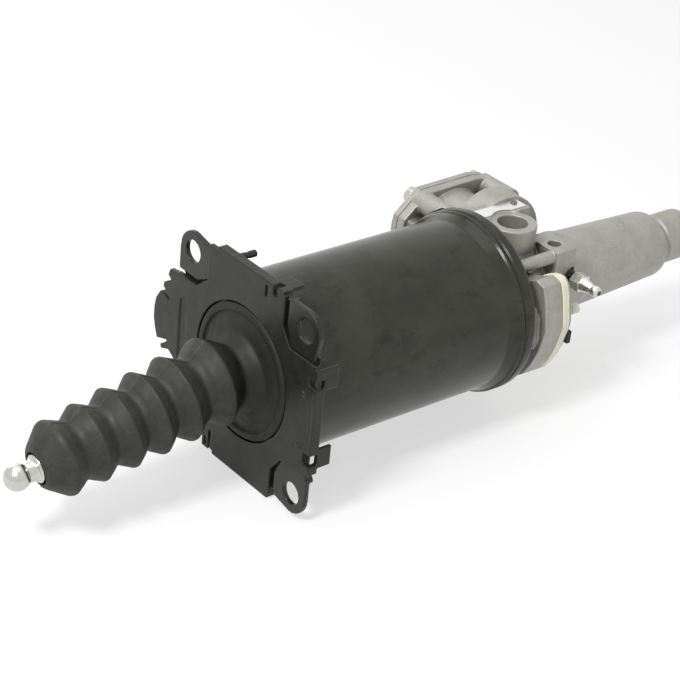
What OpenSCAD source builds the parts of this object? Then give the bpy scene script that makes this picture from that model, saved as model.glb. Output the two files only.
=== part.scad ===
// Air-assisted hydraulic clutch actuator.
// +X runs along the can from the ball end of the push rod to the hydraulic cylinder, +Z is up.
// The origin is the middle of the four ear holes, on the front face of the flange.

/* [Mounting flange] */
// Distance between neighbouring ear holes
hole_pitch = 100; // [94:0.5:106]
// Diameter of an ear hole
ear_hole_d = 13; // [9:0.5:14]
// Distance from an ear hole to the outside edge of the flange
ear_edge = 11.7; // [10:0.1:13]
// Thickness of the steel sheet of the flange
sheet_t = 3; // [2.5:0.5:4]
// How far the ears are pressed forward from the middle of the flange
ear_land = 2; // [1:0.5:3]
// Distance from an ear hole inwards to the inner edges of the ear
ear_inset = 15; // [13:0.5:16]
// How far the sides of the flange stand back between the ears
waist_depth = 4; // [2:0.5:6]
// Diameter of the hole that the foot of the bellows grips
bellows_hole_d = 66; // [64:0.5:68]

/* [Flange cover] */
// How far the plastic cover stands in front of the ears
cover_proud = 1; // [0.5:0.5:2]
// Diameter of the round opening in the cover
cover_opening_d = 80.2; // [78:0.2:84]
// Width of the open slot between an ear and the cover
ear_slot = 2.8; // [1:0.2:4]
// How far the edge of the cover stands outside the ears
skirt_reach = 2.1; // [1:0.1:3]
// How far the side wing reaches past the flange
wing_reach = 20.7; // [12:0.1:22]
// How far the snap tabs reach behind the flange face
tab_reach = 13.5; // [9:0.5:18]
// Thickness of the snap tabs
tab_t = 2; // [1.5:0.5:3]

/* [Air cylinder] */
// Outside diameter of the can
tube_d = 102; // [98:1:108]
// Wall thickness of the can
tube_wall = 2; // [1.5:0.1:3]
// Length of the can behind the flange
tube_l = 163.4; // [158:0.2:180]
// Outside diameter of the flared rear rim
rim_d = 109.4; // [107:0.2:114]
// Length of the rim behind the flare
rim_l = 9.9; // [9:0.1:12]
// Length of the flare
flare_l = 8.5; // [6:0.5:10]

/* [Air piston] */
// Travel of the piston
stroke = 75; // [60:1:80]
// Thickness of the piston rim
piston_rim_l = 18; // [16:0.5:22]
// Thickness of the piston web
web_t = 5; // [4:0.5:7]
// Outside diameter of the hub
hub_d = 42; // [40:0.5:46]
// Width of the lip seal
lip_seal_w = 6; // [5:0.5:7]
// Width of the guide ring
guide_ring_w = 5; // [4:0.5:6]
// Depth of the two ring grooves
ring_groove_depth = 4; // [3:0.5:5]

/* [Push rod] */
// Distance from the seat ball to the end ball
rod_l = 154; // [148:1:160]
// Angle by which the rod hangs from the axis
rod_droop = 7.73; // [4:0.1:8]
// Diameter of the shank
rod_d = 16; // [14:0.5:17]
// Diameter of the ball on the free end
end_ball_d = 14.4; // [13:0.2:15]
// Diameter of the neck behind the end ball
end_neck_d = 10.5; // [9:0.5:12]
// Diameter of the ball in the piston seat
seat_ball_d = 20; // [19:0.5:21]
// Diameter of the neck in front of the seat ball
seat_neck_d = 13; // [11:0.5:13]
// Outside diameter of the seat cup
cup_d = 28; // [27:0.5:30]
// Distance from the flange face back to the middle of the seat ball
pivot_x = 14; // [13:0.5:18]

/* [Bellows] */
// Wall thickness of the rubber
bellows_wall = 2.2; // [1.5:0.1:2.6]
// Distance between neighbouring folds
fold_pitch = 18.2; // [17:0.2:19]
// Radius over the first fold, next to the nose
first_fold_r = 21.1; // [20:0.1:23]
// Radius over the last fold, next to the flange
last_fold_r = 25.2; // [24:0.1:27]
// Depth of a fold
fold_depth = 5.2; // [4:0.1:6]
// Distance from the flange face to the last fold
last_fold_x = 21.5; // [20:0.5:24]
// Length of the tapered nose
nose_l = 13.3; // [11:0.1:15]
// Diameter of the dished foot
foot_d = 77; // [74:0.2:78]

/* [Hydraulic cylinder] */
// Diameter of the hydraulic plunger
plunger_d = 24; // [22:0.5:26]
// Diameter of the hydraulic bore
hydraulic_bore_d = 26; // [24.5:0.5:28]
// Diameter of the gland bore that holds bush and seals
gland_d = 34; // [32:0.5:36]
// Outside diameter of the cylinder where it leaves the casting
barrel_root_d = 47.6; // [46:0.2:50]
// Outside diameter of the cylinder at its far shoulder
barrel_end_d = 42; // [40:0.2:44]
// Distance from the rim of the can to the far shoulder
barrel_l = 143; // [138:1:150]
// Length of the end boss behind the shoulder
end_boss_l = 36; // [30:1:40]
// Diameter of the end boss
end_boss_d = 31.8; // [28:0.2:34]

/* [Ports] */
// Distance from the rim of the can to the middle of the air port
air_port_dx = 25; // [24:0.5:28]
// Height of the face of the air port above the axis
air_port_z = 44.1; // [42:0.1:48]
// Diameter of the hole of the air port
air_port_d = 18.2; // [16:0.2:20]
// Diameter of the boss round the air port
air_boss_d = 29.4; // [28:0.2:32]
// Depth of the hole of the air port
air_port_depth = 15; // [12:0.5:16]
// Distance from the rim of the can to the middle of the fluid port
fluid_port_dx = 46; // [45:0.5:48]
// Distance of the fluid port to the near side of the axis
fluid_port_y = 16; // [15:0.5:18]
// Height of the face of the fluid port above the axis
fluid_port_z = 32; // [31:0.5:34]
// Diameter of the hole of the fluid port
fluid_port_d = 8; // [7:0.5:10]
// Depth of the hole of the fluid port
fluid_port_depth = 10; // [8:0.5:11]

/* [Bleed screw] */
// Distance from the rim of the can to the bleed screw
bleed_dx = 53.6; // [52:0.2:56]
// Height of the bleed screw above the axis
bleed_z = 12.5; // [11:0.5:13]
// Distance of the tip of the bleed screw to the near side of the axis
bleed_tip_y = 50; // [46:0.5:52]
// Distance across the flats of the bleed screw
bleed_hex = 10; // [8:0.5:11]
// Diameter of the ball on the tip of the bleed screw
bleed_ball_d = 7; // [6:0.2:8]

/* [Control valve] */
// Height of the valve above the axis
valve_z = 16; // [15:0.5:18]
// Distance of the outside of the valve cover to the far side of the axis
valve_cover_y = 62; // [61:0.5:66]
// Thickness of the valve cover
valve_cover_t = 3.5; // [3:0.5:5]
// Diameter of the valve chamber
valve_bore_d = 40; // [38:0.5:41]
// Diameter of the control plunger
control_d = 14; // [12:0.5:15]
// Travel of the valve piston
valve_stroke = 3; // [2:0.5:3]
// Travel of the inlet valve
inlet_stroke = 2; // [1:0.5:2]
// Distance between the cover screws along the can
cover_screw_dx = 50; // [48:0.5:52]
// Distance between the cover screws up the casting
cover_screw_dz = 44; // [42:0.5:46]
// Diameter of the head of a cover screw
screw_head_d = 10.4; // [9:0.2:12]
// Height of the head of a cover screw
screw_head_h = 5; // [4:0.5:6]
// Thread diameter of a cover screw
screw_d = 6; // [5:0.5:6.5]

/* [Exhaust] */
// Distance from the rim of the can to the exhaust chamber
exhaust_dx = 8; // [6:0.5:10]
// Depth of the exhaust chamber along the can
exhaust_l = 14; // [12:0.5:16]
// Thickness of the filter pad
filter_t = 5; // [4:0.5:6]
// Thickness of the exhaust cover
exhaust_cover_t = 2; // [1.5:0.5:3]
// Wall of the exhaust chamber
exhaust_wall = 3; // [2.5:0.5:4]

/* [Hidden] */

fine = 96;
eps = 0.02;
slide_gap = 0.1;
static_gap = 0.05;
body_gap = 0.3;

flange_t = sheet_t + ear_land;
ear_xy = hole_pitch / 2;
flange_half = ear_xy + ear_edge;
waist_half = flange_half - waist_depth;
hole_r = bellows_hole_d / 2;
foot_r = foot_d / 2;
ear_in = ear_xy - ear_inset;
cover_t = cover_proud + ear_land;
skirt_out = flange_half + skirt_reach;

tube_r = tube_d / 2;
bore_r = tube_r - tube_wall;
rim_r = rim_d / 2;
rim_x = flange_t + tube_l;
flare_x1 = rim_x - rim_l;
flare_x0 = flare_x1 - flare_l;

hub_r = hub_d / 2;
cup_r = cup_d / 2;
cup_x0 = pivot_x - 5;
cup_x1 = pivot_x + seat_ball_d / 2 + 2;
hub_x0 = cup_x0 - 4.5;
hub_wall = 3;
pocket_depth = 8;
hub_boss_t = 2;
spring_wire_r = 2.2;
spring_coil_r = hub_r + 12;
hub_x1 = cup_x1 + hub_wall + pocket_depth;
piston_x0 = flange_t + body_gap;
piston_x1 = piston_x0 + piston_rim_l;
web_x0 = piston_x0 + 6.5;
ring_groove_r = bore_r - body_gap - ring_groove_depth;

plunger_r = plunger_d / 2;
plunger_x0 = cup_x1 + hub_wall;
plunger_x1 = rim_x + 40;
gland_r = gland_d / 2;
bore_end_x = max(plunger_x1 + stroke + 6, rim_x + barrel_l + 2);

head_x0 = flare_x0 + 0.5;
head_x1 = rim_x - 2.2;
gland_x1 = rim_x + 9.5;
core_r = barrel_root_d / 2 + 1.2;
core_x1 = rim_x + 70;
shoulder_x = rim_x + barrel_l;
end_x = shoulder_x + end_boss_l;
boss_x = rim_x + air_port_dx;
pad_z = air_port_z + 1.2;
pad_y0 = 8;
pad_x1 = boss_x + 22;
inner_x = boss_x + 12.6;
inner_y0 = 19;
inner_z = 18.5;
inner_r = 30;
fluid_x = rim_x + fluid_port_dx;
bleed_x = rim_x + bleed_dx;
bleed_boss_y = -22;
bleed_recess = 5;
valve_x = boss_x - 0.4;
gasket_t = 0.8;
valve_face_y = valve_cover_y - valve_cover_t - gasket_t;
valve_bore_r = valve_bore_d / 2;
valve_dome_r = valve_bore_r + 6.5;
screw_boss_r = 7;
screw_boss_y = 31;
control_seal_y = 21;
control_seal_w = 4;
control_y0 = 16;
bleed_boss_r = 10.3;
bleed_thread_r = 3.5;
bleed_hex_l = 6.8;
bleed_hex_turn = 17.5;
bleed_hex_y = bleed_boss_y - 15;
bleed_ball_y = 3.2 - bleed_tip_y;
bleed_drill_r = 1.6;
pin_r = 2;
knob_l = 10.5;
spigot_step = 7;
spigot_l = 4;
rim_cut_l = 40;
rim_room = 0.9;
port_rim = 2;
tool_l = 20;
bleed_boss_l = 14;
bleed_recess_r = bleed_boss_r - 3.6;
valve_floor_y = 25;
control_groove = 3;
screw_grip = 13;
seal_groove = 3;
seal_cord_r = 1.4;
seal_groove_x = head_x0 + 2.5;
wiper_x = head_x0 + 2.2;
wiper_l = 4;
plunger_seal_l = 7.5;
clip_t = 1.6;
clip_groove = 1.2;
plate_t = 0.6;
plate_w = 9;
flap = [3, 5, 8];
flap_place = [-53, -13];

// Valve train, from the control plunger outwards
piston_y0 = 30;
piston_t = 7;
piston_groove_y = piston_y0 + 2;
valve_cord_r = 1.1;
stem_r = 5;
seat_y0 = 46;
seat_t = 3.5;
inlet_t = 2.5;

// Knobs on the exhaust cover, as places in Y and Z
exhaust_screw_places = [[-46.5, 5.5], [-38, -22], [-30, -36]];
exhaust_screw_d = 6.5;

control_r = control_d / 2;
exhaust_x0 = rim_x + exhaust_dx;
exhaust_x1 = exhaust_x0 + exhaust_l;
filter_x1 = exhaust_x1 + filter_t;
exhaust_cover_x1 = filter_x1 + exhaust_cover_t;

// A revolved or round shape made along Z is laid along +X from x
module along_x(x = 0) {
    translate([x, 0, 0]) rotate([0, 90, 0]) children();
}

// A round shape made along Z is laid along +Y from y, at a place in X and Z
module along_y(x, y, z) {
    translate([x, y, z]) rotate([-90, 0, 0]) children();
}

// A flat outline in Y and Z is given a thickness along +X from x
module plate_x(x, thickness) {
    translate([x, 0, 0]) rotate([90, 0, 90]) linear_extrude(thickness) children();
}

// A flat outline in X and Z is given a thickness along +Y from y
module plate_y(y, thickness) {
    translate([0, y + thickness, 0]) rotate([90, 0, 0]) linear_extrude(thickness) children();
}

module ring(outer, inner, height, sides = fine) {
    difference() {
        cylinder(r = outer, h = height, $fn = sides);
        translate([0, 0, -1]) cylinder(r = inner, h = height + 2, $fn = sides);
    }
}

// Points on an arc round c, from angle a0 to a1
function arc(c, r, a0, a1, steps = 6) =
    [for (i = [0:steps]) let (a = a0 + (a1 - a0) * i / steps) c + r * [cos(a), sin(a)]];

// A helical spring of round wire along +Z, between two plane ends
module helix(coil_r, wire_r, height, turns, sides = 8, per_turn = 20) {
    rings = turns * per_turn;
    rise = height - 2 * wire_r;
    points = [for (i = [0:rings]) let (a = 360 * i / per_turn, z = wire_r + rise * i / rings)
        for (k = [0:sides - 1]) let (b = 360 * k / sides, r = coil_r + wire_r * cos(b))
            [r * cos(a), r * sin(a), z + wire_r * sin(b)]];
    skin = [for (i = [0:rings - 1]) for (k = [0:sides - 1])
        let (n = (k + 1) % sides, p = i * sides, q = p + sides)
            [p + k, q + k, q + n, p + n]];
    cap0 = [[for (k = [0:sides - 1]) k]];
    cap1 = [[for (k = [sides - 1:-1:0]) rings * sides + k]];
    polyhedron(points, concat(skin, cap0, cap1));
}

module flange_outline() {
    shoulder = ear_in - 2;
    slope = 3;
    side = concat([[waist_half, -shoulder + slope], [waist_half, shoulder - slope],
                   [flange_half, shoulder + slope]],
                  arc([ear_xy, ear_xy], ear_edge, 0, 90));
    turned = [for (q = [0:3]) for (p = side)
        [p[0] * cos(90 * q) - p[1] * sin(90 * q), p[0] * sin(90 * q) + p[1] * cos(90 * q)]];
    polygon(turned);
}

// Each ear as its side in Y, its side in Z and whether its open slot runs along Y
ears = [[1, 1, true], [-1, 1, false], [-1, -1, false], [1, -1, true]];

// Region of an ear, grown past its slot edge and past its seam
module ear_region(ear, past_slot = 0, past_seam = 0) {
    long_cut = 9.3;
    short_cut = 4.7;
    far = 2 * flange_half;
    s = ear_in - past_slot;
    t = ear_in - past_seam;
    points = [[s, t + long_cut], [s, far], [far, far], [far, t], [s + short_cut + past_slot, t]];
    polygon([for (p = points)
        ear[2] ? [ear[0] * p[1], ear[1] * p[0]] : [ear[0] * p[0], ear[1] * p[1]]]);
}

// Pressed from sheet: the ears stand forward of the middle and overlap it along their edges
module mounting_flange() {
    overlap = sheet_t;
    color("#1f1f1e")
    difference() {
        union() {
            plate_x(ear_land, sheet_t) difference() {
                flange_outline();
                for (ear = ears) ear_region(ear, -overlap, -overlap);
            }
            plate_x(0, sheet_t) intersection() {
                flange_outline();
                for (ear = ears) ear_region(ear);
            }
        }
        for (y = [-1, 1], z = [-1, 1])
            translate([0, y * ear_xy, z * ear_xy])
                along_x(-1) cylinder(d = ear_hole_d, h = flange_t + 2, $fn = fine);
        along_x(-1) cylinder(r = hole_r, h = flange_t + 2, $fn = fine);
    }
}

// The cover fills the cross between the ears, with a notch at the far lower ear
module cover_outline() {
    seam = 0.3;
    notch_y = 22;
    notch_z = 50;
    difference() {
        square(2 * flange_half, center = true);
        for (ear = ears) ear_region(ear, ear_slot, seam);
        translate([notch_y, -2 * flange_half]) square([flange_half, 2 * flange_half - notch_z]);
    }
}

// Wing on the far side, with two notched fingers above it and one hook below it
module cover_wing() {
    tip = flange_half + wing_reach;
    root = flange_half - 2;
    difference() {
        polygon([[root, 32], [tip - 13.4, 30.7], [tip - 12, 26.4], [tip - 15, 24.5],
                 [tip - 8.5, 20.4], [tip - 7.8, 17.5], [tip - 10.2, 15.8], [tip - 5, 12.9],
                 [tip - 1.6, 7.5], [tip - 0.4, 2], [tip, -5.5], [tip - 1.4, -11],
                 [tip - 4, -17.7], [tip - 13.6, -14.6], [tip - 13.6, -15.8],
                 [tip - 7.8, -19.9], [tip - 8.6, -22.5], [tip - 15.6, -19.9], [root, -24]]);
        translate([tip - 14, 11]) rotate(21) square([9, 1.6]);
    }
}

// A box on one side of the cover: side 0 is above, 1 near, 2 below and 3 far
module side_box(side, x, along, inner, size) {
    rotate([90 * side, 0, 0]) translate([x, along, inner]) cube(size);
}

// A snap tab reaches back past the edge of the flange and has a window at its root
module cover_tab(side, middle, width) {
    side_box(side, -cover_proud, middle - width / 2, skirt_out - tab_t,
             [cover_proud + tab_reach, width, tab_t]);
}

module tab_window(side, middle, width) {
    side_box(side, -cover_proud - 1, middle - width / 2, flange_half - 4,
             [cover_proud + 5.5, width, skirt_reach + 6]);
}

module cover_skirt(side, from, to) {
    side_box(side, -cover_proud, from, flange_half - 1,
             [cover_proud + flange_t, to - from, 1 + skirt_reach]);
}

module flange_cover() {
    front = -cover_proud - 1;
    skirt_from = 1 - ear_in + ear_slot;
    skirt_to = -skirt_from;
    slot = [-16.5, 54];
    peg_y = 14;
    peg_d = 4;
    panel = [51, 58, -22, 19.5];
    panel_r = (panel[1] - panel[0]) / 2;
    studs = [15, -17.4];
    stud_y = 8 - flange_half;
    loop_y = 25;
    color("#262625")
    difference() {
        union() {
            plate_x(-cover_proud, cover_t) cover_outline();
            plate_x(-cover_proud, cover_t) cover_wing();
            cover_skirt(0, skirt_from, 27);
            cover_skirt(1, skirt_from, skirt_to);
            rotate([180, 0, 0]) translate([-cover_proud, -20, flange_half - 1])
                cube([cover_proud + flange_t, 20 - skirt_from, 1 + skirt_reach]);
            cover_tab(0, -24.5, 11.5);
            cover_tab(1, 26.5, 13);
            cover_tab(1, -22, 12);
            translate([-cover_proud, peg_y, flange_half + 0.3])
                along_x(0) cylinder(d = peg_d, h = cover_proud + 8.2, $fn = 24);
            for (z = studs) translate([-cover_proud, stud_y, z])
                along_x(-1) cylinder(r1 = 1.2, r2 = 1.9, h = 1 + eps, $fn = 32);
            plate_x(0, ear_land) translate([loop_y, -skirt_out]) square([6, skirt_out - 48]);
        }
        along_x(front) cylinder(d = cover_opening_d, h = cover_t + 2, $fn = fine);
        translate([front, slot[0] - 0.9, slot[1]]) cube([cover_t + 2, 1.8, 7]);
        tab_window(0, -24, 4);
        tab_window(1, 24, 5);
        tab_window(1, -22.5, 7);
        side_box(1, front, studs[1] + 5, flange_half - 0.8, [2, studs[0] - studs[1] - 4, 0.9]);
        plate_x(front, 1.8) hull() for (z = [panel[2], panel[3]])
            translate([panel[0] + panel_r, z - sign(z) * panel_r]) circle(r = panel_r, $fn = 48);
        plate_x(-1, ear_land + 2) translate([loop_y + 2, -skirt_out + 2]) square([2, 5]);
    }
}

module cylinder_tube() {
    curl_r = 2.6;
    lip = 4.4;
    profile = concat(
        [[bore_r, flange_t], [tube_r, flange_t], [tube_r, flare_x0], [rim_r, flare_x1],
         [rim_r, flare_x1 + 1.2], [rim_r - 0.8, flare_x1 + 1.8], [rim_r - 0.8, flare_x1 + 4.6],
         [rim_r, flare_x1 + 5.2]],
        arc([rim_r - curl_r, rim_x - curl_r], curl_r, 0, 90),
        [[rim_r - lip, rim_x], [rim_r - lip, rim_x - tube_wall],
         [rim_r - tube_wall, rim_x - tube_wall], [rim_r - tube_wall, flare_x1],
         [bore_r, flare_x0]]);
    color("#2a2a28") along_x() rotate_extrude($fn = fine) polygon(profile);
}

// Push rod, drawn along -X from the seat ball and then hung by its droop
module hang() {
    translate([pivot_x, 0, 0]) rotate([0, -rod_droop, 0]) rotate([0, -90, 0]) children();
}

module push_rod() {
    ball_r = seat_ball_d / 2;
    neck_r = seat_neck_d / 2;
    rod_r = rod_d / 2;
    step_s = rod_l - 10;
    color("silver")
    hang() {
        sphere(r = ball_r, $fn = fine);
        rotate_extrude($fn = fine)
            polygon([[0, 0], [neck_r, 0], [neck_r, ball_r + 3], [rod_r, ball_r + 6],
                     [rod_r, step_s - 1], [rod_r - 1, step_s], [end_neck_d / 2 + 0.8, step_s],
                     [end_neck_d / 2 - 0.4, rod_l], [0, rod_l]]);
        translate([0, 0, rod_l]) sphere(d = end_ball_d, $fn = fine);
    }
}

module rod_seat() {
    ball_r = seat_ball_d / 2 + slide_gap;
    mouth_r = seat_neck_d / 2 + 2.2;
    color("#e8e4d8")
        along_x(pivot_x) rotate_extrude($fn = fine)
            polygon(concat([[mouth_r, cup_x0 - pivot_x], [cup_r, cup_x0 - pivot_x],
                            [cup_r, cup_x1 - pivot_x], [0, cup_x1 - pivot_x]],
                           arc([0, 0], ball_r, 90, -asin((pivot_x - cup_x0 - 0.2) / ball_r), 16)));
}

module seat_retaining_ring() {
    color("#4a4a4a")
        along_x(cup_x0 - 2)
            ring(cup_r + clip_groove - static_gap, cup_r - 2 * clip_groove, clip_t);
}

// Hub pressed into the piston: it holds the seat of the rod in front and the plunger behind
module piston_hub() {
    mouth_r = cup_r + slide_gap;
    ring_x = cup_x0 - 2;
    color("#a9a9a6")
    difference() {
        along_x() rotate_extrude($fn = fine) polygon([
            [mouth_r, hub_x0], [hub_r, hub_x0], [hub_r, hub_x1], [plunger_r + static_gap, hub_x1],
            [plunger_r + static_gap, plunger_x0], [0, plunger_x0], [0, cup_x1 + static_gap],
            [mouth_r, cup_x1 + static_gap]]);
        along_x(ring_x - static_gap)
            cylinder(r = cup_r + clip_groove, h = clip_t + 2 * static_gap, $fn = fine);
    }
}

module air_piston() {
    inner = hub_r + static_gap;
    boss_r = hub_r + 4;
    rim_in = ring_groove_r - 3;
    outer = bore_r - body_gap;
    web_x1 = web_x0 + web_t;
    color("#b9b9b6")
    difference() {
        along_x() rotate_extrude($fn = fine) polygon([
            [inner, web_x0 - hub_boss_t], [boss_r, web_x0 - hub_boss_t], [boss_r, web_x0],
            [rim_in, web_x0], [rim_in, piston_x0], [outer, piston_x0], [outer, piston_x1],
            [rim_in, piston_x1], [rim_in, web_x1], [boss_r, web_x1],
            [boss_r, web_x1 + hub_boss_t], [inner, web_x1 + hub_boss_t]]);
        along_x(piston_x0 + 1.5)
            ring(bore_r + 1, ring_groove_r, guide_ring_w + 2 * static_gap);
        along_x(piston_x1 - 1.5 - lip_seal_w - 2 * static_gap)
            ring(bore_r + 1, ring_groove_r, lip_seal_w + 2 * static_gap);
    }
}

module piston_guide_ring() {
    color("#d9d4c4")
        along_x(piston_x0 + 1.5 + static_gap)
            ring(bore_r - slide_gap, ring_groove_r + static_gap, guide_ring_w);
}

module piston_lip_seal() {
    w = lip_seal_w;
    outer = bore_r - slide_gap;
    inner = ring_groove_r + static_gap;
    mid = (outer + inner) / 2;
    color("#222222")
        along_x(piston_x1 - 1.5 - w - static_gap)
            rotate_extrude($fn = fine)
                polygon([[inner, 0], [outer - 0.6, 0], [outer, w - 0.6], [outer - 0.5, w],
                         [mid, w / 2], [inner + 0.8, w], [inner, w - 0.6]]);
}

module preload_spring() {
    x0 = web_x0 + web_t + 0.1;
    color("#6b6b6b") along_x(x0) 
        helix(spring_coil_r, spring_wire_r, head_x0 - 0.1 - x0, 6);
}

module hydraulic_plunger() {
    color("#c9c9c9") along_x(plunger_x0) {
        cylinder(r = plunger_r, h = plunger_x1 - plunger_x0 - 1.5, $fn = fine);
        translate([0, 0, plunger_x1 - plunger_x0 - 1.5])
            cylinder(r1 = plunger_r, r2 = plunger_r - 1.5, h = 1.5, $fn = fine);
    }
}

// The fold tops lie on a straight line between the first and the last fold
folds = 5;
bellows_x = last_fold_x - 1.4;
nose_point = [pivot_x - (rod_l - 11) * cos(rod_droop), -(rod_l - 11) * sin(rod_droop)];
bellows_tilt = atan2(-nose_point[1], -bellows_x - nose_point[0]);
bellows_l = norm([nose_point[0] + bellows_x, nose_point[1]]);
first_fold_s = bellows_l - nose_l;
function fold_r(k) = first_fold_r + (last_fold_r - first_fold_r) * k / folds;
function fold_s(k) = first_fold_s - fold_pitch * k;

// Folded length, as radius and distance from the flange end, shrunk by a wall inside
function folded_profile(wall) = concat(
    [[0, 2], [fold_r(folds) - fold_depth - wall, 2]],
    [for (k = [folds - 1:-1:0]) each [
        [fold_r(k) - fold_depth - wall, fold_s(k) - fold_pitch / 2 - 1],
        [fold_r(k) - fold_depth - wall, fold_s(k) - fold_pitch / 2 + 1],
        [fold_r(k) - 0.3 - wall, fold_s(k) - 1.4],
        [fold_r(k) - wall, fold_s(k)],
        [fold_r(k) - 0.3 - wall, fold_s(k) + 1.4]]]);

module folded_skin() {
    rotate_extrude($fn = fine)
        polygon(concat(folded_profile(0), [[18.2, first_fold_s + 4.5],
            [15.4, first_fold_s + 8.4], [13.4, first_fold_s + 10.4],
            [rod_d / 2 + 3, bellows_l - 1], [rod_d / 2 + 1.8, bellows_l], [0, bellows_l]]));
}

module folded_hollow() {
    rotate_extrude($fn = fine)
        polygon(concat(folded_profile(bellows_wall), [[13.5, first_fold_s + 5.5],
            [rod_d / 2 + body_gap, first_fold_s + 7.5], [0, first_fold_s + 7.5]]));
}

// Foot of the bellows: last fold, valley, collar, dished disc and the groove round the flange
foot_valley_r = last_fold_r - fold_depth - 1.6;
collar_r = last_fold_r - 2.2;

module foot_skin() {
    front = ear_land - static_gap;
    back = flange_t + static_gap;
    rotate_extrude($fn = fine)
        polygon([[0, -last_fold_x - 9], [last_fold_r - fold_depth, -last_fold_x - 9],
                 [last_fold_r - 0.3, -last_fold_x - 1.4], [last_fold_r, -last_fold_x],
                 [last_fold_r - 0.3, -last_fold_x + 1.4], [foot_valley_r, -10.4],
                 [foot_valley_r, -8.8], [collar_r, -3.4], [foot_r - 2.5, -0.6],
                 [foot_r, 0.4], [foot_r, front], [hole_r - static_gap, front],
                 [hole_r - static_gap, back], [hole_r + 2.5, back], [hole_r + 1, back + 2.2],
                 [0, back + 2.2]]);
}

module foot_hollow() {
    w = bellows_wall;
    rotate_extrude($fn = fine)
        polygon([[0, -last_fold_x - 9 + w], [last_fold_r - fold_depth - w, -last_fold_x - 9 + w],
                 [last_fold_r - w, -last_fold_x], [foot_valley_r - w, -9.6],
                 [collar_r - w, -2.6], [hole_r - 3.2, ear_land + 0.6],
                 [hole_r - 3.2, flange_t + 4], [0, flange_t + 4]]);
}

module tilt_bellows() {
    translate([-bellows_x, 0, 0]) rotate([0, -bellows_tilt, 0]) rotate([0, -90, 0]) children();
}

module bellows() {
    color("#242423")
    difference() {
        union() {
            tilt_bellows() folded_skin();
            along_x() foot_skin();
        }
        tilt_bellows() folded_hollow();
        along_x() foot_hollow();
        hang() cylinder(r = rod_d / 2 + body_gap, h = rod_l, $fn = fine);
    }
}

// Casting: a disc closes the can, and all outside features grow from the core behind it
module head_disc() {
    step_r = rim_r - tube_wall - 0.25;
    along_x() rotate_extrude($fn = fine) polygon([
        [gland_r, head_x0], [bore_r - slide_gap, head_x0], [bore_r - slide_gap, flare_x0 + 1],
        [step_r - 4, flare_x1 - 0.6], [step_r, flare_x1 + 0.4], [step_r, head_x1],
        [0, head_x1], [0, head_x1 - 1], [gland_r, head_x1 - 1]]);
}

module core() {
    core_l = core_x1 - head_x1;
    boss_r = end_boss_d / 2;
    collar_x = end_x - 24;
    round_r = 8;
    along_x(head_x1 - eps) cylinder(r = core_r, h = core_l, $fn = fine);
    along_x() rotate_extrude($fn = fine) polygon(concat(
        [[0, core_x1 - 2], [core_r, core_x1 - 2], [barrel_root_d / 2, core_x1 + 5]],
        arc([barrel_end_d / 2 - round_r, shoulder_x], round_r, 0, 62),
        [[boss_r - 1, shoulder_x + 8.4], [boss_r - 1.4, collar_x - 1.2], [boss_r, collar_x],
         [boss_r, end_x - 2.5], [boss_r - 2.5, end_x], [0, end_x]]));
}

// A cast rib runs along the near side of the hydraulic cylinder
module barrel_rib() {
    rib_r = 6;
    rib_x1 = shoulder_x - 27;
    translate([0, 1.5 - barrel_root_d / 2 + rib_r - 2, -2]) {
        along_x(bleed_x) cylinder(r = rib_r, h = rib_x1 - bleed_x, $fn = 48);
        along_x(rib_x1 - eps) cylinder(r1 = rib_r, r2 = rib_r - 3, h = 4, $fn = 48);
    }
}

// The air port stands in front of a flat pad, and the pad runs back into a round chamber
module air_boss() {
    translate([boss_x, 0, 0]) cylinder(d = air_boss_d, h = air_port_z, $fn = fine);
    translate([boss_x, 0, core_r - 6])
        cylinder(r1 = air_boss_d / 2 + 5, r2 = air_boss_d / 2, h = 10, $fn = fine);
    translate([rim_x + 1, pad_y0, 0]) cube([pad_x1 - rim_x - 1, 16, pad_z]);
    along_y(inner_x, inner_y0, inner_z)
        cylinder(r = inner_r, h = valve_face_y - 22 - inner_y0, $fn = fine);
}

// A square block carries the fluid port, a cast passage and the boss of the bleed screw
module fluid_block() {
    translate([fluid_x - 8, -fluid_port_y - 11, 0]) cube([16, 21, fluid_port_z]);
    translate([rim_x + 1, -fluid_port_y - 6, fluid_port_z - 4.5])
        along_x() cylinder(r = 4, h = fluid_x - rim_x - 4, $fn = 48);
    along_y(bleed_x, bleed_boss_y, bleed_z) cylinder(r = bleed_boss_r, h = 14, $fn = 64);
}

// Outline of the exhaust chamber in Y and Z, drawn in by a wall where asked
function exhaust_points(inset) = [
    [-16, 20 - inset], [-33.5, 25 - inset], [-41 + inset / 3, 29 - inset],
    [-47.5 + inset, 27 - inset], [-50.7 + inset, 19], [-54.6 + inset, 1.3],
    [-51 + inset, -14], [-46.7 + inset, -25], [-41.6 + inset, -33],
    [-30 + inset / 2, -42 + inset], [-10, -45 + inset], [-2, -38 + inset]];

// Side of the chamber's flat parts that faces the hydraulic cylinder
exhaust_inner = [[-14, -36], [-26, -22], [-28, 0], [-24, 17]];

// The flat parts leave out the first point, which would reach the boss of the air port
function exhaust_plate(inset) = let (outer = exhaust_points(inset))
    concat([for (i = [1:len(outer) - 2]) outer[i]], exhaust_inner);

module exhaust_chamber() {
    lug_outline = [[-20, 14], [-44, 12], [-48, 8], [-49.5, -6], [-47, -13], [-20, -15]];
    difference() {
        plate_x(exhaust_x0, exhaust_l)
            polygon(concat(exhaust_points(0), [[0, -20], [0, 20]]));
        plate_x(exhaust_x0 + exhaust_wall, exhaust_l)
            polygon(concat(exhaust_points(exhaust_wall), exhaust_inner));
    }
    plate_x(rim_x + 0.8, exhaust_dx) polygon(lug_outline);
}

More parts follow.
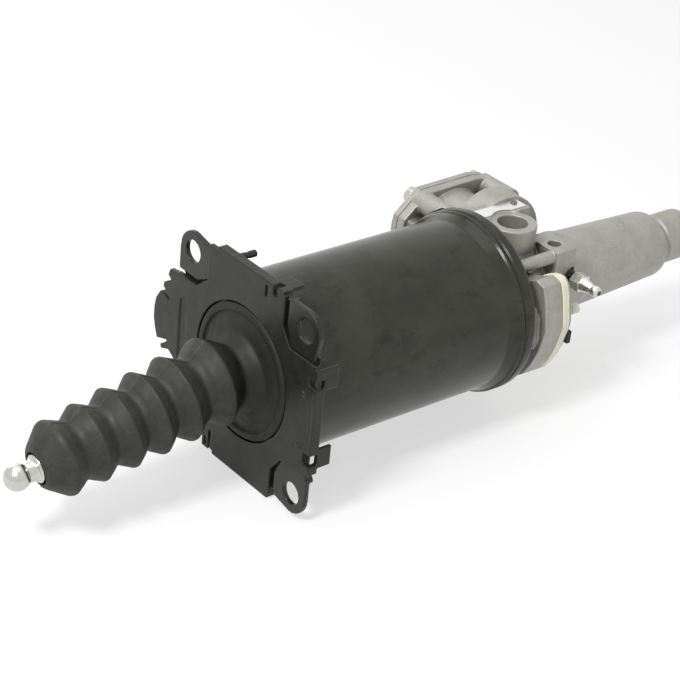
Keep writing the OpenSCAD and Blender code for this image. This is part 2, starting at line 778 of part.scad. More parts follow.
module valve_outline() {
    left = valve_x - cover_screw_dx / 2 - 4;
    right = valve_x + cover_screw_dx / 2 + 10;
    top = cover_screw_dz / 2 + 8;
    upper = [[right, top - 7.5], [right - 5, top - 2.3], [right - 16, top],
             [left + 8, top - 1], [left - 8, top - 15], [left - 9, top - 22]];
    polygon(concat([for (p = upper) [p[0], valve_z + p[1]]],
                   [for (i = [len(upper) - 1:-1:0]) [upper[i][0], valve_z - upper[i][1]]]));
}

screw_places = [for (i = [-1, 1], k = [-1, 1])
    [valve_x + 4 + i * cover_screw_dx / 2, valve_z + k * cover_screw_dz / 2]];

// Flanged housing of the control valve, with four screw bosses and a lug at its front
module valve_housing() {
    back_y = valve_face_y - 6;
    dome_y = 20;
    lug = [13.8, back_y - 46.5 + 1, 12];
    plate_y(back_y, 6) valve_outline();
    along_y(valve_x, dome_y, valve_z)
        cylinder(r = valve_dome_r, h = back_y + 1 - dome_y, $fn = fine);
    for (p = screw_places)
        along_y(p[0], screw_boss_y, p[1])
            cylinder(r = screw_boss_r, h = valve_face_y - screw_boss_y, $fn = 48);
    translate([screw_places[0][0] - 13.4, back_y + 1 - lug[1], valve_z + 2]) cube(lug);
    translate([rim_x + 1.5, 10, valve_z - 20]) cube([46, 20, 34]);
}

module servo_body() {
    color("#9d9b96")
    difference() {
        union() {
            head_disc();
            along_x(head_x1 - eps) cylinder(r = bore_r - spigot_step, h = spigot_l, $fn = fine);
            difference() {
                union() {
                    core();
                    barrel_rib();
                    air_boss();
                    fluid_block();
                    exhaust_chamber();
                    valve_housing();
                }
                along_x(rim_x - rim_cut_l)
                    cylinder(r = rim_r + rim_room, h = rim_cut_l + rim_room, $fn = fine);
            }
        }
        along_x(head_x0 - 1) cylinder(r = gland_r, h = gland_x1 - head_x0 + 1, $fn = fine);
        along_x(gland_x1 - 1)
            cylinder(d = hydraulic_bore_d, h = bore_end_x - gland_x1 + 1, $fn = fine);
        translate([boss_x, 0, air_port_z - air_port_depth])
            cylinder(d = air_port_d, h = air_port_depth + 1, $fn = fine);
        translate([boss_x, 0, air_port_z])
            cylinder(d = air_boss_d - 2 * port_rim, h = tool_l, $fn = fine);
        translate([fluid_x, -fluid_port_y, fluid_port_z - fluid_port_depth])
            cylinder(d = fluid_port_d, h = fluid_port_depth + 1, $fn = fine);
        along_y(bleed_x, bleed_boss_y - bleed_boss_l, bleed_z)
            cylinder(r = bleed_recess_r, h = bleed_recess + bleed_boss_l, $fn = 64);
        along_y(bleed_x, bleed_boss_y, bleed_z)
            cylinder(r = bleed_thread_r + 2 * static_gap, h = bleed_boss_l, $fn = 64);
        along_y(valve_x, valve_floor_y, valve_z)
            cylinder(r = valve_bore_r, h = valve_face_y, $fn = fine);
        along_y(valve_x, control_y0 - 0.5, valve_z)
            cylinder(r = control_r + slide_gap, h = tool_l, $fn = fine);
        along_y(valve_x, control_seal_y, valve_z)
            cylinder(r = control_r + control_groove, h = control_seal_w + 2, $fn = fine);
        for (p = screw_places)
            along_y(p[0], valve_face_y - screw_grip - 1, p[1])
                cylinder(d = screw_d + 2 * static_gap, h = tool_l, $fn = 32);
        along_x(seal_groove_x) ring(bore_r + 2, bore_r - seal_groove, seal_groove);
    }
}

module tube_seal() {
    color("#1c1c1c")
        along_x(seal_groove_x + seal_groove / 2)
            rotate_extrude($fn = fine)
                translate([bore_r - seal_cord_r - 0.15, 0]) circle(r = seal_cord_r, $fn = 24);
}

module plunger_wiper() {
    color("#2b2b2b")
        along_x(wiper_x)
            ring(gland_r - static_gap, plunger_r + slide_gap, wiper_l);
}

module plunger_guide_bush() {
    color("#b48a4a")
        along_x(wiper_x + wiper_l + 0.1)
            ring(gland_r - static_gap, plunger_r + slide_gap,
                 gland_x1 - plunger_seal_l - wiper_x - wiper_l - 0.3);
}

module plunger_seal() {
    color("#232323")
        along_x(gland_x1 - plunger_seal_l - 0.1)
            ring(gland_r - static_gap, plunger_r + slide_gap, plunger_seal_l);
}

module gland_retaining_ring() {
    color("#555555")
        along_x(head_x0 + 0.4)
            ring(gland_r - static_gap, gland_r - 3, clip_t);
}

module valve_cover() {
    color("#a5a39e")
    difference() {
        plate_y(valve_cover_y - valve_cover_t, valve_cover_t) valve_outline();
        for (p = screw_places)
            along_y(p[0], valve_cover_y - valve_cover_t - 1, p[1])
                cylinder(d = screw_d + 2 * static_gap, h = valve_cover_t + 2, $fn = 32);
    }
}

module valve_cover_gasket() {
    color("#3a3a38")
    difference() {
        plate_y(valve_face_y, gasket_t) valve_outline();
        along_y(valve_x, valve_face_y - 1, valve_z)
            cylinder(r = valve_bore_r, h = gasket_t + 2, $fn = fine);
        for (p = screw_places)
            along_y(p[0], valve_face_y - 1, p[1])
                cylinder(d = screw_d + 2 * static_gap, h = gasket_t + 2, $fn = 32);
    }
}

module valve_cover_screws() {
    color("#c4c4c0")
    for (p = screw_places)
        along_y(p[0], valve_face_y - screw_grip, p[1]) {
            cylinder(d = screw_d, h = valve_cover_y - valve_face_y + screw_grip + 1, $fn = 32);
            translate([0, 0, valve_cover_y - valve_face_y + screw_grip])
                cylinder(d = screw_head_d, h = screw_head_h, $fn = 48);
        }
}

module control_plunger() {
    color("#cfcfcf")
        along_y(valve_x, control_y0, valve_z)
            cylinder(r = control_r, h = piston_y0 - control_y0, $fn = fine);
}

module control_plunger_seal() {
    color("#202020")
        along_y(valve_x, control_seal_y + static_gap, valve_z)
            ring(control_r + control_groove - static_gap, control_r + slide_gap,
                 control_seal_w - 2 * static_gap);
}

module valve_piston() {
    stem_y1 = seat_y0 + seat_t + 0.8 - valve_stroke;
    color("#bdbdb8")
    difference() {
        union() {
            along_y(valve_x, piston_y0, valve_z)
                cylinder(r = valve_bore_r - body_gap, h = piston_t, $fn = fine);
            along_y(valve_x, piston_y0 + piston_t - eps, valve_z)
                cylinder(r = stem_r, h = stem_y1 - piston_y0 - piston_t + eps, $fn = 64);
        }
        along_y(valve_x, piston_groove_y, valve_z)
            ring(valve_bore_r + 1, valve_bore_r - 2.6, seal_groove);
        along_y(valve_x, piston_y0 + piston_t, valve_z)
            cylinder(r = stem_r - 2, h = 30, $fn = 48);
    }
}

module valve_piston_seal() {
    color("#1c1c1c")
        along_y(valve_x, piston_groove_y + seal_groove / 2, valve_z)
            rotate_extrude($fn = fine)
                translate([valve_bore_r - valve_cord_r - body_gap, 0])
                    circle(r = valve_cord_r, $fn = 24);
}

module valve_return_spring() {
    y0 = piston_y0 + piston_t + 0.1;
    color("#7a7a7a") along_y(valve_x, y0, valve_z) helix(11, 0.9, seat_y0 - 0.1 - y0, 4, 6, 16);
}

module valve_seat() {
    color("#c2b280")
        along_y(valve_x, seat_y0, valve_z)
            ring(valve_bore_r - static_gap, stem_r + 1.5, seat_t);
}

module inlet_valve() {
    color("#303030")
        along_y(valve_x, seat_y0 + seat_t + static_gap, valve_z)
            cylinder(r = stem_r + 4, h = inlet_t, $fn = 64);
}

module inlet_valve_spring() {
    y0 = seat_y0 + seat_t + inlet_t + 0.15;
    color("#7a7a7a")
        along_y(valve_x, y0, valve_z)
            helix(6.5, 0.6, valve_cover_y - valve_cover_t - 0.1 - y0, 3, 6, 16);
}

module exhaust_filter() {
    color("#d8d6b4") plate_x(exhaust_x1, filter_t) polygon(exhaust_plate(-0.4));
}

module exhaust_cover() {
    color("#8f8e8a") plate_x(filter_x1, exhaust_cover_t) polygon(exhaust_plate(0.6));
}

module exhaust_flap() {
    color("#111111") translate([exhaust_cover_x1, flap_place[0], flap_place[1]]) cube(flap);
}

module exhaust_cover_screws() {
    color("#b5b3a0")
    for (p = exhaust_screw_places)
        translate([exhaust_cover_x1, p[0], p[1]])
            along_x() cylinder(d = exhaust_screw_d, h = knob_l, $fn = 32);
}

module bleed_screw() {
    thread_l = bleed_boss_y + 12 - bleed_hex_y - bleed_hex_l;
    color("#d5d5d5") {
        along_y(bleed_x, bleed_hex_y + bleed_hex_l - eps, bleed_z)
            cylinder(r = bleed_thread_r, h = thread_l, $fn = 48);
        along_y(bleed_x, bleed_hex_y, bleed_z) rotate([0, 0, bleed_hex_turn])
            cylinder(d = bleed_hex / cos(30), h = bleed_hex_l, $fn = 6);
        along_y(bleed_x, bleed_ball_y, bleed_z)
            cylinder(r1 = bleed_drill_r + 0.6, r2 = bleed_hex / 2 - 0.3,
                     h = bleed_hex_y - bleed_ball_y + eps, $fn = 48);
        difference() {
            translate([bleed_x, bleed_ball_y, bleed_z]) sphere(d = bleed_ball_d, $fn = 64);
            along_y(bleed_x, -bleed_tip_y - 1, bleed_z)
                cylinder(r = bleed_drill_r, h = 5, $fn = 32);
        }
    }
}

// The bare plate runs from the rim past the air port, whose boss cuts its near edge
module identification_plate() {
    color("#d8d8d4")
    difference() {
        translate([rim_x + 6, pad_y0 + 2, pad_z])
            cube([pad_x1 - rim_x - 8, plate_w, plate_t]);
        translate([boss_x, 0, air_port_z]) cylinder(d = air_boss_d - 2 * port_rim, h = tool_l, $fn = fine);
    }
}

module plate_pin() {
    color("#c8c8c8")
        translate([pad_x1 - 6.7, pad_y0 + 7.6, pad_z + plate_t])
            cylinder(r = pin_r, h = 1, $fn = 32);
}

mounting_flange();
flange_cover();
cylinder_tube();
bellows();
push_rod();
rod_seat();
seat_retaining_ring();
air_piston();
piston_hub();
piston_lip_seal();
piston_guide_ring();
preload_spring();
hydraulic_plunger();
servo_body();
tube_seal();
plunger_guide_bush();
plunger_seal();
plunger_wiper();
gland_retaining_ring();
valve_cover();
valve_cover_gasket();
valve_cover_screws();
control_plunger();
control_plunger_seal();
valve_piston();
valve_piston_seal();
valve_return_spring();
valve_seat();
inlet_valve();
inlet_valve_spring();
exhaust_filter();
exhaust_cover();
exhaust_flap();
exhaust_cover_screws();
bleed_screw();
identification_plate();
plate_pin();
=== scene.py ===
"""Looks of an air-assisted clutch actuator: painted can and flange, rubber bellows, cast head."""

import math

import bmesh
import bpy
from mathutils import Matrix, Vector


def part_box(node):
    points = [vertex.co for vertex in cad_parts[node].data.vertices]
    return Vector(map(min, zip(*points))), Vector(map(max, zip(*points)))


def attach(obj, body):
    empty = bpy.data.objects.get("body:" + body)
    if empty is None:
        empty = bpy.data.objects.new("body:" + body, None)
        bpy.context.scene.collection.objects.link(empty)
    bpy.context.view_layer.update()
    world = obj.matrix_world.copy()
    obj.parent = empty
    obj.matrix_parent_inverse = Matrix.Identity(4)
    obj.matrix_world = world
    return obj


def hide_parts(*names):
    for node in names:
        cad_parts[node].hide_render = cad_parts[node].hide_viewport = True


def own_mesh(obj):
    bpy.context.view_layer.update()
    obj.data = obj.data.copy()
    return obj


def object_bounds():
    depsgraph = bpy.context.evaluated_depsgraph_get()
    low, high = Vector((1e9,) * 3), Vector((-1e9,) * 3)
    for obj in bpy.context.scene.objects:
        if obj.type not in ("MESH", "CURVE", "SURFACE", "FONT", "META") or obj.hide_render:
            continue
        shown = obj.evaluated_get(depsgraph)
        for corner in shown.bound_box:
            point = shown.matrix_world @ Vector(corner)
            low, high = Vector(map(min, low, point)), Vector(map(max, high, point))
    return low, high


bl_info = {
    "name": "Clutch Actuator",
    "version": (1, 0, 0),
    "blender": (4, 5, 0),
    "location": "3D View > Sidebar > Actuator",
    "description": "Builds the finishes and soft parts of a clutch actuator round its frame",
    "category": "Object",
}

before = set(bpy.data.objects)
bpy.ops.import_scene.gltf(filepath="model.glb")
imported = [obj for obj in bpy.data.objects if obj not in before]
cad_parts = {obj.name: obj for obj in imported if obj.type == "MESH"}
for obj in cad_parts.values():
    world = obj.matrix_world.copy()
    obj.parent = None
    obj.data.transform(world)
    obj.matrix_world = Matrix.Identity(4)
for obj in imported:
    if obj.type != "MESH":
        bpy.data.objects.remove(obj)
CAD_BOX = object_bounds()
MM = 0.001
ROUND = 2 * math.pi


class ActuatorFinish(bpy.types.PropertyGroup):
    """Colours and surface sizes of the actuator."""

    can_colour: bpy.props.FloatVectorProperty(
        name="Can paint", description="Colour of the paint on the can",
        subtype="COLOR", default=(0.0215, 0.022, 0.0145), min=0, max=1)
    flange_colour: bpy.props.FloatVectorProperty(
        name="Flange paint", description="Colour of the paint on the steel flange",
        subtype="COLOR", default=(0.012, 0.0125, 0.0105), min=0, max=1)
    cover_colour: bpy.props.FloatVectorProperty(
        name="Cover plastic", description="Colour of the plastic flange cover",
        subtype="COLOR", default=(0.013, 0.0135, 0.011), min=0, max=1)
    rubber_colour: bpy.props.FloatVectorProperty(
        name="Bellows rubber", description="Colour of the rubber bellows",
        subtype="COLOR", default=(0.027, 0.028, 0.023), min=0, max=1)
    casting_colour: bpy.props.FloatVectorProperty(
        name="Casting", description="Colour of the sand-cast aluminium",
        subtype="COLOR", default=(0.365, 0.358, 0.325), min=0, max=1)
    edge_radius: bpy.props.FloatProperty(
        name="Edge radius", description="Rounding of the edges of plates and screws",
        subtype="DISTANCE", unit="LENGTH", default=0.4 * MM, min=0.05 * MM, max=1.5 * MM)


class ActuatorBellows(bpy.types.PropertyGroup):
    """Shape of the rubber bellows."""

    folds: bpy.props.IntProperty(
        name="Folds", description="Number of folds from the nose to the foot",
        default=6, min=3, max=9)
    pitch: bpy.props.FloatProperty(
        name="Pitch", description="Distance between neighbouring folds",
        subtype="DISTANCE", unit="LENGTH", default=18.2 * MM, min=12 * MM, max=20 * MM)
    first_radius: bpy.props.FloatProperty(
        name="First fold", description="Radius over the fold next to the nose",
        subtype="DISTANCE", unit="LENGTH", default=21.2 * MM, min=15 * MM, max=24 * MM)
    last_radius: bpy.props.FloatProperty(
        name="Last fold", description="Radius over the fold next to the foot",
        subtype="DISTANCE", unit="LENGTH", default=25.2 * MM, min=20 * MM, max=28 * MM)
    droop: bpy.props.FloatProperty(
        name="Droop", description="Slope of the folded length at rest",
        subtype="ANGLE", unit="ROTATION", default=math.radians(10.1))
    mould_line: bpy.props.FloatProperty(
        name="Mould line", description="Height of the mould line along the rubber",
        subtype="DISTANCE", unit="LENGTH", default=0.45 * MM, min=0, max=1 * MM)


class ActuatorStage(bpy.types.PropertyGroup):
    """Camera, floor and light."""

    camera_place: bpy.props.FloatVectorProperty(
        name="Camera place", description="Where the camera stands",
        subtype="TRANSLATION", unit="LENGTH", default=(-0.5747, -0.7188, 0.5469))
    camera_azimuth: bpy.props.FloatProperty(
        name="Azimuth", description="Turn of the view from +Y towards +X",
        subtype="ANGLE", unit="ROTATION", default=math.radians(41.824))
    camera_elevation: bpy.props.FloatProperty(
        name="Elevation", description="How far the view looks down",
        subtype="ANGLE", unit="ROTATION", default=math.radians(29.554))
    camera_roll: bpy.props.FloatProperty(
        name="Roll", description="Roll of the camera about its view",
        subtype="ANGLE", unit="ROTATION", default=math.radians(6.096))
    lens: bpy.props.FloatProperty(
        name="Lens", description="Focal length on a 36 mm sensor, in millimetres",
        default=105.02, min=20, max=300)
    key_power: bpy.props.FloatProperty(
        name="Key light", description="Power of the key light, in watts", default=6.0, min=0)
    glint_power: bpy.props.FloatProperty(
        name="Glint light", description="Power of the small light in front, in watts",
        default=13.0, min=0)
    sky: bpy.props.FloatProperty(
        name="Sky", description="Strength of the even light from all round", default=0.50, min=0)


def smooth(mesh, degrees=35):
    """Shades a mesh smooth except over edges sharper than the given angle."""
    mesh.polygons.foreach_set("use_smooth", [True] * len(mesh.polygons))
    mesh.set_sharp_from_angle(angle=math.radians(degrees))


def add_piece(name, mesh, body, material, slot, *nodes):
    """Links a finished mesh as a piece that rides on a body and stands for CAD nodes."""
    piece = bpy.data.objects.new(name, mesh)
    bpy.context.scene.collection.objects.link(piece)
    mesh.materials.clear()
    mesh.materials.append(material)
    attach(piece, body)
    if nodes:
        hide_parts(*nodes)
    return piece


def apply_modifiers(piece):
    """Turns a piece and its modifiers into a plain mesh."""
    depsgraph = bpy.context.evaluated_depsgraph_get()
    mesh = bpy.data.meshes.new_from_object(piece.evaluated_get(depsgraph))
    piece.modifiers.clear()
    piece.data = mesh
    return mesh


def joined_mesh(node, angle=0.6):
    """A copy of a CAD node's mesh with its loose triangles merged and flat faces whole."""
    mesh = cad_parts[node].data.copy()
    bm = bmesh.new()
    bm.from_mesh(mesh)
    bmesh.ops.remove_doubles(bm, verts=bm.verts, dist=0.002 * MM)
    bmesh.ops.dissolve_degenerate(bm, edges=bm.edges, dist=0.002 * MM)
    if angle:
        bmesh.ops.dissolve_limit(bm, verts=bm.verts, edges=bm.edges,
                                 angle_limit=math.radians(angle))
    bm.to_mesh(mesh)
    bm.free()
    return mesh


def round_corners(mesh, radius, axis=Vector((1, 0, 0)), sharp=20):
    """Rounds the corners of a plate: its sharp edges that run along the axis."""
    bm = bmesh.new()
    bm.from_mesh(mesh)
    edges = []
    for edge in bm.edges:
        run = edge.verts[1].co - edge.verts[0].co
        if (abs(run.normalized().dot(axis)) > 0.999 and len(edge.link_faces) == 2
                and edge.calc_face_angle() > math.radians(sharp)):
            edges.append(edge)
    bmesh.ops.bevel(bm, geom=edges, offset=radius, segments=6, profile=0.5, affect="EDGES",
                    clamp_overlap=True)
    bm.to_mesh(mesh)
    bm.free()


def softened(node, body, material, slot, width, segments=2, limit=38, corner=0.0, more=None,
             shape=None):
    """A CAD node's shape, or a finer one, with rounded edges, as a piece that stands for it."""
    mesh = shape or joined_mesh(node)
    if corner:
        round_corners(mesh, corner)
    if more:
        merge_into(mesh, more)
    piece = add_piece(node + "_finish", mesh, body, material, slot, node)
    bevel = piece.modifiers.new("Rounding", "BEVEL")
    bevel.width = width
    bevel.segments = segments
    bevel.limit_method = "ANGLE"
    bevel.angle_limit = math.radians(limit)
    bevel.use_clamp_overlap = True
    smooth(apply_modifiers(piece))
    level = piece.modifiers.new("Flat faces", "WEIGHTED_NORMAL")
    level.keep_sharp = True
    level.weight = 60
    apply_modifiers(piece)
    return piece


def merge_into(mesh, other):
    """Adds another mesh's faces to a mesh."""
    bm = bmesh.new()
    bm.from_mesh(mesh)
    bm.from_mesh(other)
    bm.to_mesh(mesh)
    bm.free()


def worn_round(node, body, material, slot, voxel, passes, share, more=None, flat=True):
    """A CAD node's shape remeshed evenly, with all its edges and corners worn round."""
    mesh = joined_mesh(node, 0)
    if more:
        merge_into(mesh, more)
    piece = add_piece(node + "_finish", mesh, body, material, slot, node)
    remesh = piece.modifiers.new("Even", "REMESH")
    remesh.mode = "VOXEL"
    remesh.voxel_size = voxel
    relax = piece.modifiers.new("Round", "SMOOTH")
    relax.factor = 0.5
    relax.iterations = passes
    thin = piece.modifiers.new("Fewer", "DECIMATE")
    thin.ratio = share
    mesh = apply_modifiers(piece)
    mesh.polygons.foreach_set("use_smooth", [True] * len(mesh.polygons))
    if flat:
        level = piece.modifiers.new("Flat faces", "WEIGHTED_NORMAL")
        level.weight = 70
        apply_modifiers(piece)
    return piece


def revolve(outline, steps):
    """Mesh of an outline of (x, radius) pairs turned round the can's axis."""
    bm = bmesh.new()
    rings = []
    for x, radius in outline:
        rings.append([bm.verts.new((x, radius * math.cos(ROUND * k / steps),
                                    radius * math.sin(ROUND * k / steps)))
                      for k in range(steps)])
    for near, far in zip(rings, rings[1:]):
        for k in range(steps):
            bm.faces.new((near[k], near[(k + 1) % steps], far[(k + 1) % steps], far[k]))
    bmesh.ops.remove_doubles(bm, verts=bm.verts, dist=0.001 * MM)
    mesh = bpy.data.meshes.new("revolved")
    bm.to_mesh(mesh)
    bm.free()
    return mesh


def rounded(outline, radius, steps=5):
    """A closed outline whose corners are drawn round."""
    path = []
    for k, corner in enumerate(outline):
        corner = Vector(corner)
        ends = []
        for near in (outline[k - 1], outline[(k + 1) % len(outline)]):
            side = Vector(near) - corner
            ends.append(corner + side * min(radius / side.length, 0.45))
        for step in range(steps + 1):
            t = step / steps
            point = ends[0].lerp(corner, t).lerp(corner.lerp(ends[1], t), t)
            path.append((point.x, point.y))
    return path


def thicken(piece, wall):
    """Gives a sheet a wall on its inner side and shades it smooth."""
    layer = piece.modifiers.new("Wall", "SOLIDIFY")
    layer.thickness = wall
    layer.offset = -1
    smooth(apply_modifiers(piece), 60)


def turn_outwards(mesh):
    """Turns the faces of a sleeve or a closed shell so that they look outwards."""
    bm = bmesh.new()
    bm.from_mesh(mesh)
    bmesh.ops.recalc_face_normals(bm, faces=bm.faces)
    highest = max(bm.faces, key=lambda face: face.calc_center_median().z)
    if highest.normal.z < 0:
        bmesh.ops.reverse_faces(bm, faces=bm.faces)
    bm.to_mesh(mesh)
    bm.free()


class Field:
    """A value in a geometry node tree, on which sums are written as in a formula."""

    def __init__(self, tree, socket):
        self.tree = tree
        self.socket = socket

    def __add__(self, other):
        return self.tree.math("ADD", self, other)

    def __radd__(self, other):
        return self.tree.math("ADD", other, self)

    def __sub__(self, other):
        return self.tree.math("SUBTRACT", self, other)

    def __rsub__(self, other):
        return self.tree.math("SUBTRACT", other, self)

    def __mul__(self, other):
        return self.tree.math("MULTIPLY", self, other)

    def __truediv__(self, other):
        return self.tree.math("DIVIDE", self, other)

    def call(self, operation, other=0.0):
        return self.tree.math(operation, self, other)


class ShapeTree:
    """Lays out a geometry node tree with named inputs and one geometry output."""

    def __init__(self, name, **inputs):
        self.tree = bpy.data.node_groups.new(name, "GeometryNodeTree")
        self.values = {}
        for label, value in inputs.items():
            kind = {int: "NodeSocketInt", float: "NodeSocketFloat",
                    bpy.types.Material: "NodeSocketMaterial",
                    bpy.types.Object: "NodeSocketObject"}[type(value)]
            socket = self.tree.interface.new_socket(label.replace("_", " ").capitalize(),
                                                    in_out="INPUT", socket_type=kind)
            self.values[socket.identifier] = value
        self.tree.interface.new_socket("Geometry", in_out="OUTPUT",
                                       socket_type="NodeSocketGeometry")
        given = self.tree.nodes.new("NodeGroupInput")
        self.given = {label: given.outputs[k] for k, label in enumerate(inputs)}
        self.result = self.tree.nodes.new("NodeGroupOutput").inputs["Geometry"]

    def value(self, label):
        return Field(self, self.given[label])

    def put(self, socket, value):
        """Links a field or a socket into a node, or sets a plain value."""
        if isinstance(value, Field):
            value = value.socket
        if isinstance(value, bpy.types.NodeSocket):
            self.tree.links.new(value, socket)
        else:
            socket.default_value = value

    def node(self, kind, inputs=(), **settings):
        node = self.tree.nodes.new(kind)
        for setting, value in settings.items():
            setattr(node, setting, value)
        for key, value in dict(inputs).items():
            self.put(node.inputs[key], value)
        return node

    def math(self, operation, a, b=0.0):
        return Field(self, self.node("ShaderNodeMath", {0: a, 1: b},
                                     operation=operation).outputs[0])

    def curve(self, value, points):
        """A smooth curve through points, read at a value between 0 and 1."""
        node = self.node("ShaderNodeFloatCurve", {"Value": value})
        line = node.mapping.curves[0].points
        while len(line) < len(points):
            line.new(0.5, 0.5)
        for point, place in zip(line, points):
            point.location = place
        node.mapping.update()
        return Field(self, node.outputs[0])

    def vector(self, x, y, z):
        return self.node("ShaderNodeCombineXYZ", {0: x, 1: y, 2: z}).outputs[0]

    def grow(self, name):
        """Runs the tree once and gives its result as a plain mesh."""
        seed = bpy.data.objects.new(name + "_seed", bpy.data.meshes.new(name + "_seed"))
        bpy.context.scene.collection.objects.link(seed)
        modifier = seed.modifiers.new(name, "NODES")
        modifier.node_group = self.tree
        for identifier, value in self.values.items():
            modifier[identifier] = value
        depsgraph = bpy.context.evaluated_depsgraph_get()
        mesh = bpy.data.meshes.new_from_object(seed.evaluated_get(depsgraph))
        bpy.data.objects.remove(seed)
        mesh.name = name
        if not mesh.polygons:
            raise RuntimeError(name + " came out empty")
        return mesh


def fasteners(name, places, turn, material, shank, head, socket=(0.0, 0.0)):
    """Screws or pegs at the given places: (diameter, length) of shank and head, hexagon socket."""
    spots = bpy.data.meshes.new(name + "_places")
    spots.from_pydata(places, [], [])
    spots = bpy.data.objects.new(name + "_places", spots)
    bpy.context.scene.collection.objects.link(spots)
    tree = ShapeTree(name, places=spots, shank_diameter=shank[0], shank_length=shank[1],
                     head_diameter=head[0], head_length=head[1], socket_width=socket[0],
                     socket_depth=socket[1], finish=material)
    value = tree.value

    def barrel(diameter, low, length, sides):
        can = tree.node("GeometryNodeMeshCylinder", {
            "Vertices": sides, "Radius": diameter * 0.5, "Depth": length}).outputs["Mesh"]
        return tree.node("GeometryNodeTransform", {
            "Geometry": can,
            "Translation": tree.vector(0.0, 0.0, low + length * 0.5)}).outputs["Geometry"]

    sunk = 0.2 * MM
    screw = tree.node("GeometryNodeMeshBoolean", {
        "Mesh 2": barrel(value("shank_diameter"), 0.0, value("shank_length") + sunk, 32)},
        operation="UNION")
    tree.put(screw.inputs["Mesh 2"], barrel(value("head_diameter"), value("shank_length"),
                                            value("head_length"), 48))
    shape = screw.outputs["Mesh"]
    if socket[1]:
        shape = tree.node("GeometryNodeMeshBoolean", {
            "Mesh 1": shape,
            "Mesh 2": barrel(value("socket_width"),
                             value("shank_length") + value("head_length")
                             - value("socket_depth"), value("socket_depth") * 2, 6)},
            operation="DIFFERENCE").outputs["Mesh"]
    points = tree.node("GeometryNodeObjectInfo", {"Object": value("places")})
    placed = tree.node("GeometryNodeInstanceOnPoints", {
        "Points": points.outputs["Geometry"], "Instance": shape,
        "Rotation": tree.vector(*turn)}).outputs["Instances"]
    whole = tree.node("GeometryNodeRealizeInstances", {"Geometry": placed}).outputs[0]
    tree.put(tree.result, tree.node("GeometryNodeSetMaterial", {
        "Geometry": whole, "Material": value("finish")}).outputs[0])
    mesh = tree.grow(name)
    bpy.data.objects.remove(spots)
    return mesh


class Shader:
    """Small helper that lays out a node material on Object coordinates."""

    def __init__(self, name):
        self.material = bpy.data.materials.new(name)
        self.material.use_nodes = True
        self.nodes = self.material.node_tree.nodes
        self.links = self.material.node_tree.links
        self.surface = self.nodes["Principled BSDF"]
        self.place = self.nodes.new("ShaderNodeTexCoord").outputs["Object"]

    def set(self, **values):
        for socket, value in values.items():
            self.surface.inputs[socket.replace("_", " ")].default_value = value

    def noise(self, size_mm, detail=3.0, roughness=0.55, stretch=(1, 1, 1)):
        """Noise whose features are about size_mm across."""
        mapping = self.nodes.new("ShaderNodeMapping")
        mapping.inputs["Scale"].default_value = stretch
        self.links.new(self.place, mapping.inputs["Vector"])
        texture = self.nodes.new("ShaderNodeTexNoise")
        texture.inputs["Scale"].default_value = 1 / (size_mm * MM)
        texture.inputs["Detail"].default_value = detail
        texture.inputs["Roughness"].default_value = roughness
        self.links.new(mapping.outputs["Vector"], texture.inputs["Vector"])
        return texture.outputs["Fac"]

    def ramp(self, value, stops):
        """Colours or greys along a value between 0 and 1."""
        node = self.nodes.new("ShaderNodeValToRGB")
        ramp = node.color_ramp
        while len(ramp.elements) < len(stops):
            ramp.elements.new(0.5)
        for element, (position, colour) in zip(ramp.elements, stops):
            element.position = position
            if isinstance(colour, (int, float)):
                colour = (colour, colour, colour)
            element.color = (*colour, 1)
        self.links.new(value, node.inputs["Fac"])
        return node.outputs["Color"]

    def mix(self, factor, a, b, mode="MIX"):
        node = self.nodes.new("ShaderNodeMix")
        node.data_type = "RGBA"
        node.blend_type = mode
        for socket, value in ((node.inputs["Factor"], factor), (node.inputs[6], a),
                              (node.inputs[7], b)):
            if isinstance(value, bpy.types.NodeSocket):
                self.links.new(value, socket)
            elif isinstance(value, (int, float)):
                socket.default_value = value
            else:
                socket.default_value = (*value, 1)
        return node.outputs[2]

    def hollow(self, reach_mm, inside=False):
        """How open a point is within reach: low in corners, or on edges where inside is set."""
        node = self.nodes.new("ShaderNodeAmbientOcclusion")
        node.samples = 8
        node.only_local = True
        node.inside = inside
        node.inputs["Distance"].default_value = reach_mm * MM
        return node.outputs["AO"]

    def beyond(self, axis, start, width):
        """0 up to a place along an axis, and 1 from a width further on."""
        parts = self.nodes.new("ShaderNodeSeparateXYZ")
        self.links.new(self.place, parts.inputs[0])
        node = self.nodes.new("ShaderNodeMapRange")
        node.inputs["From Min"].default_value = start
        node.inputs["From Max"].default_value = start + width
        self.links.new(parts.outputs[axis], node.inputs["Value"])
        return node.outputs["Result"]

    def colour(self, socket):
        self.links.new(socket, self.surface.inputs["Base Color"])

    def roughness(self, socket):
        self.links.new(socket, self.surface.inputs["Roughness"])

    def bumps(self, *layers):
        """Bump layers as (height value, depth in mm)."""
        below = None
        for value, depth_mm in layers:
            node = self.nodes.new("ShaderNodeBump")
            node.inputs["Strength"].default_value = 1
            node.inputs["Distance"].default_value = depth_mm * MM
            self.links.new(value, node.inputs["Height"])
            if below:
                self.links.new(below, node.inputs["Normal"])
            below = node.outputs["Normal"]
        self.links.new(below, self.surface.inputs["Normal"])


def shade(colour, factor):
    """A colour made lighter or darker."""
    return tuple(min(1.0, channel * factor) for channel in colour)


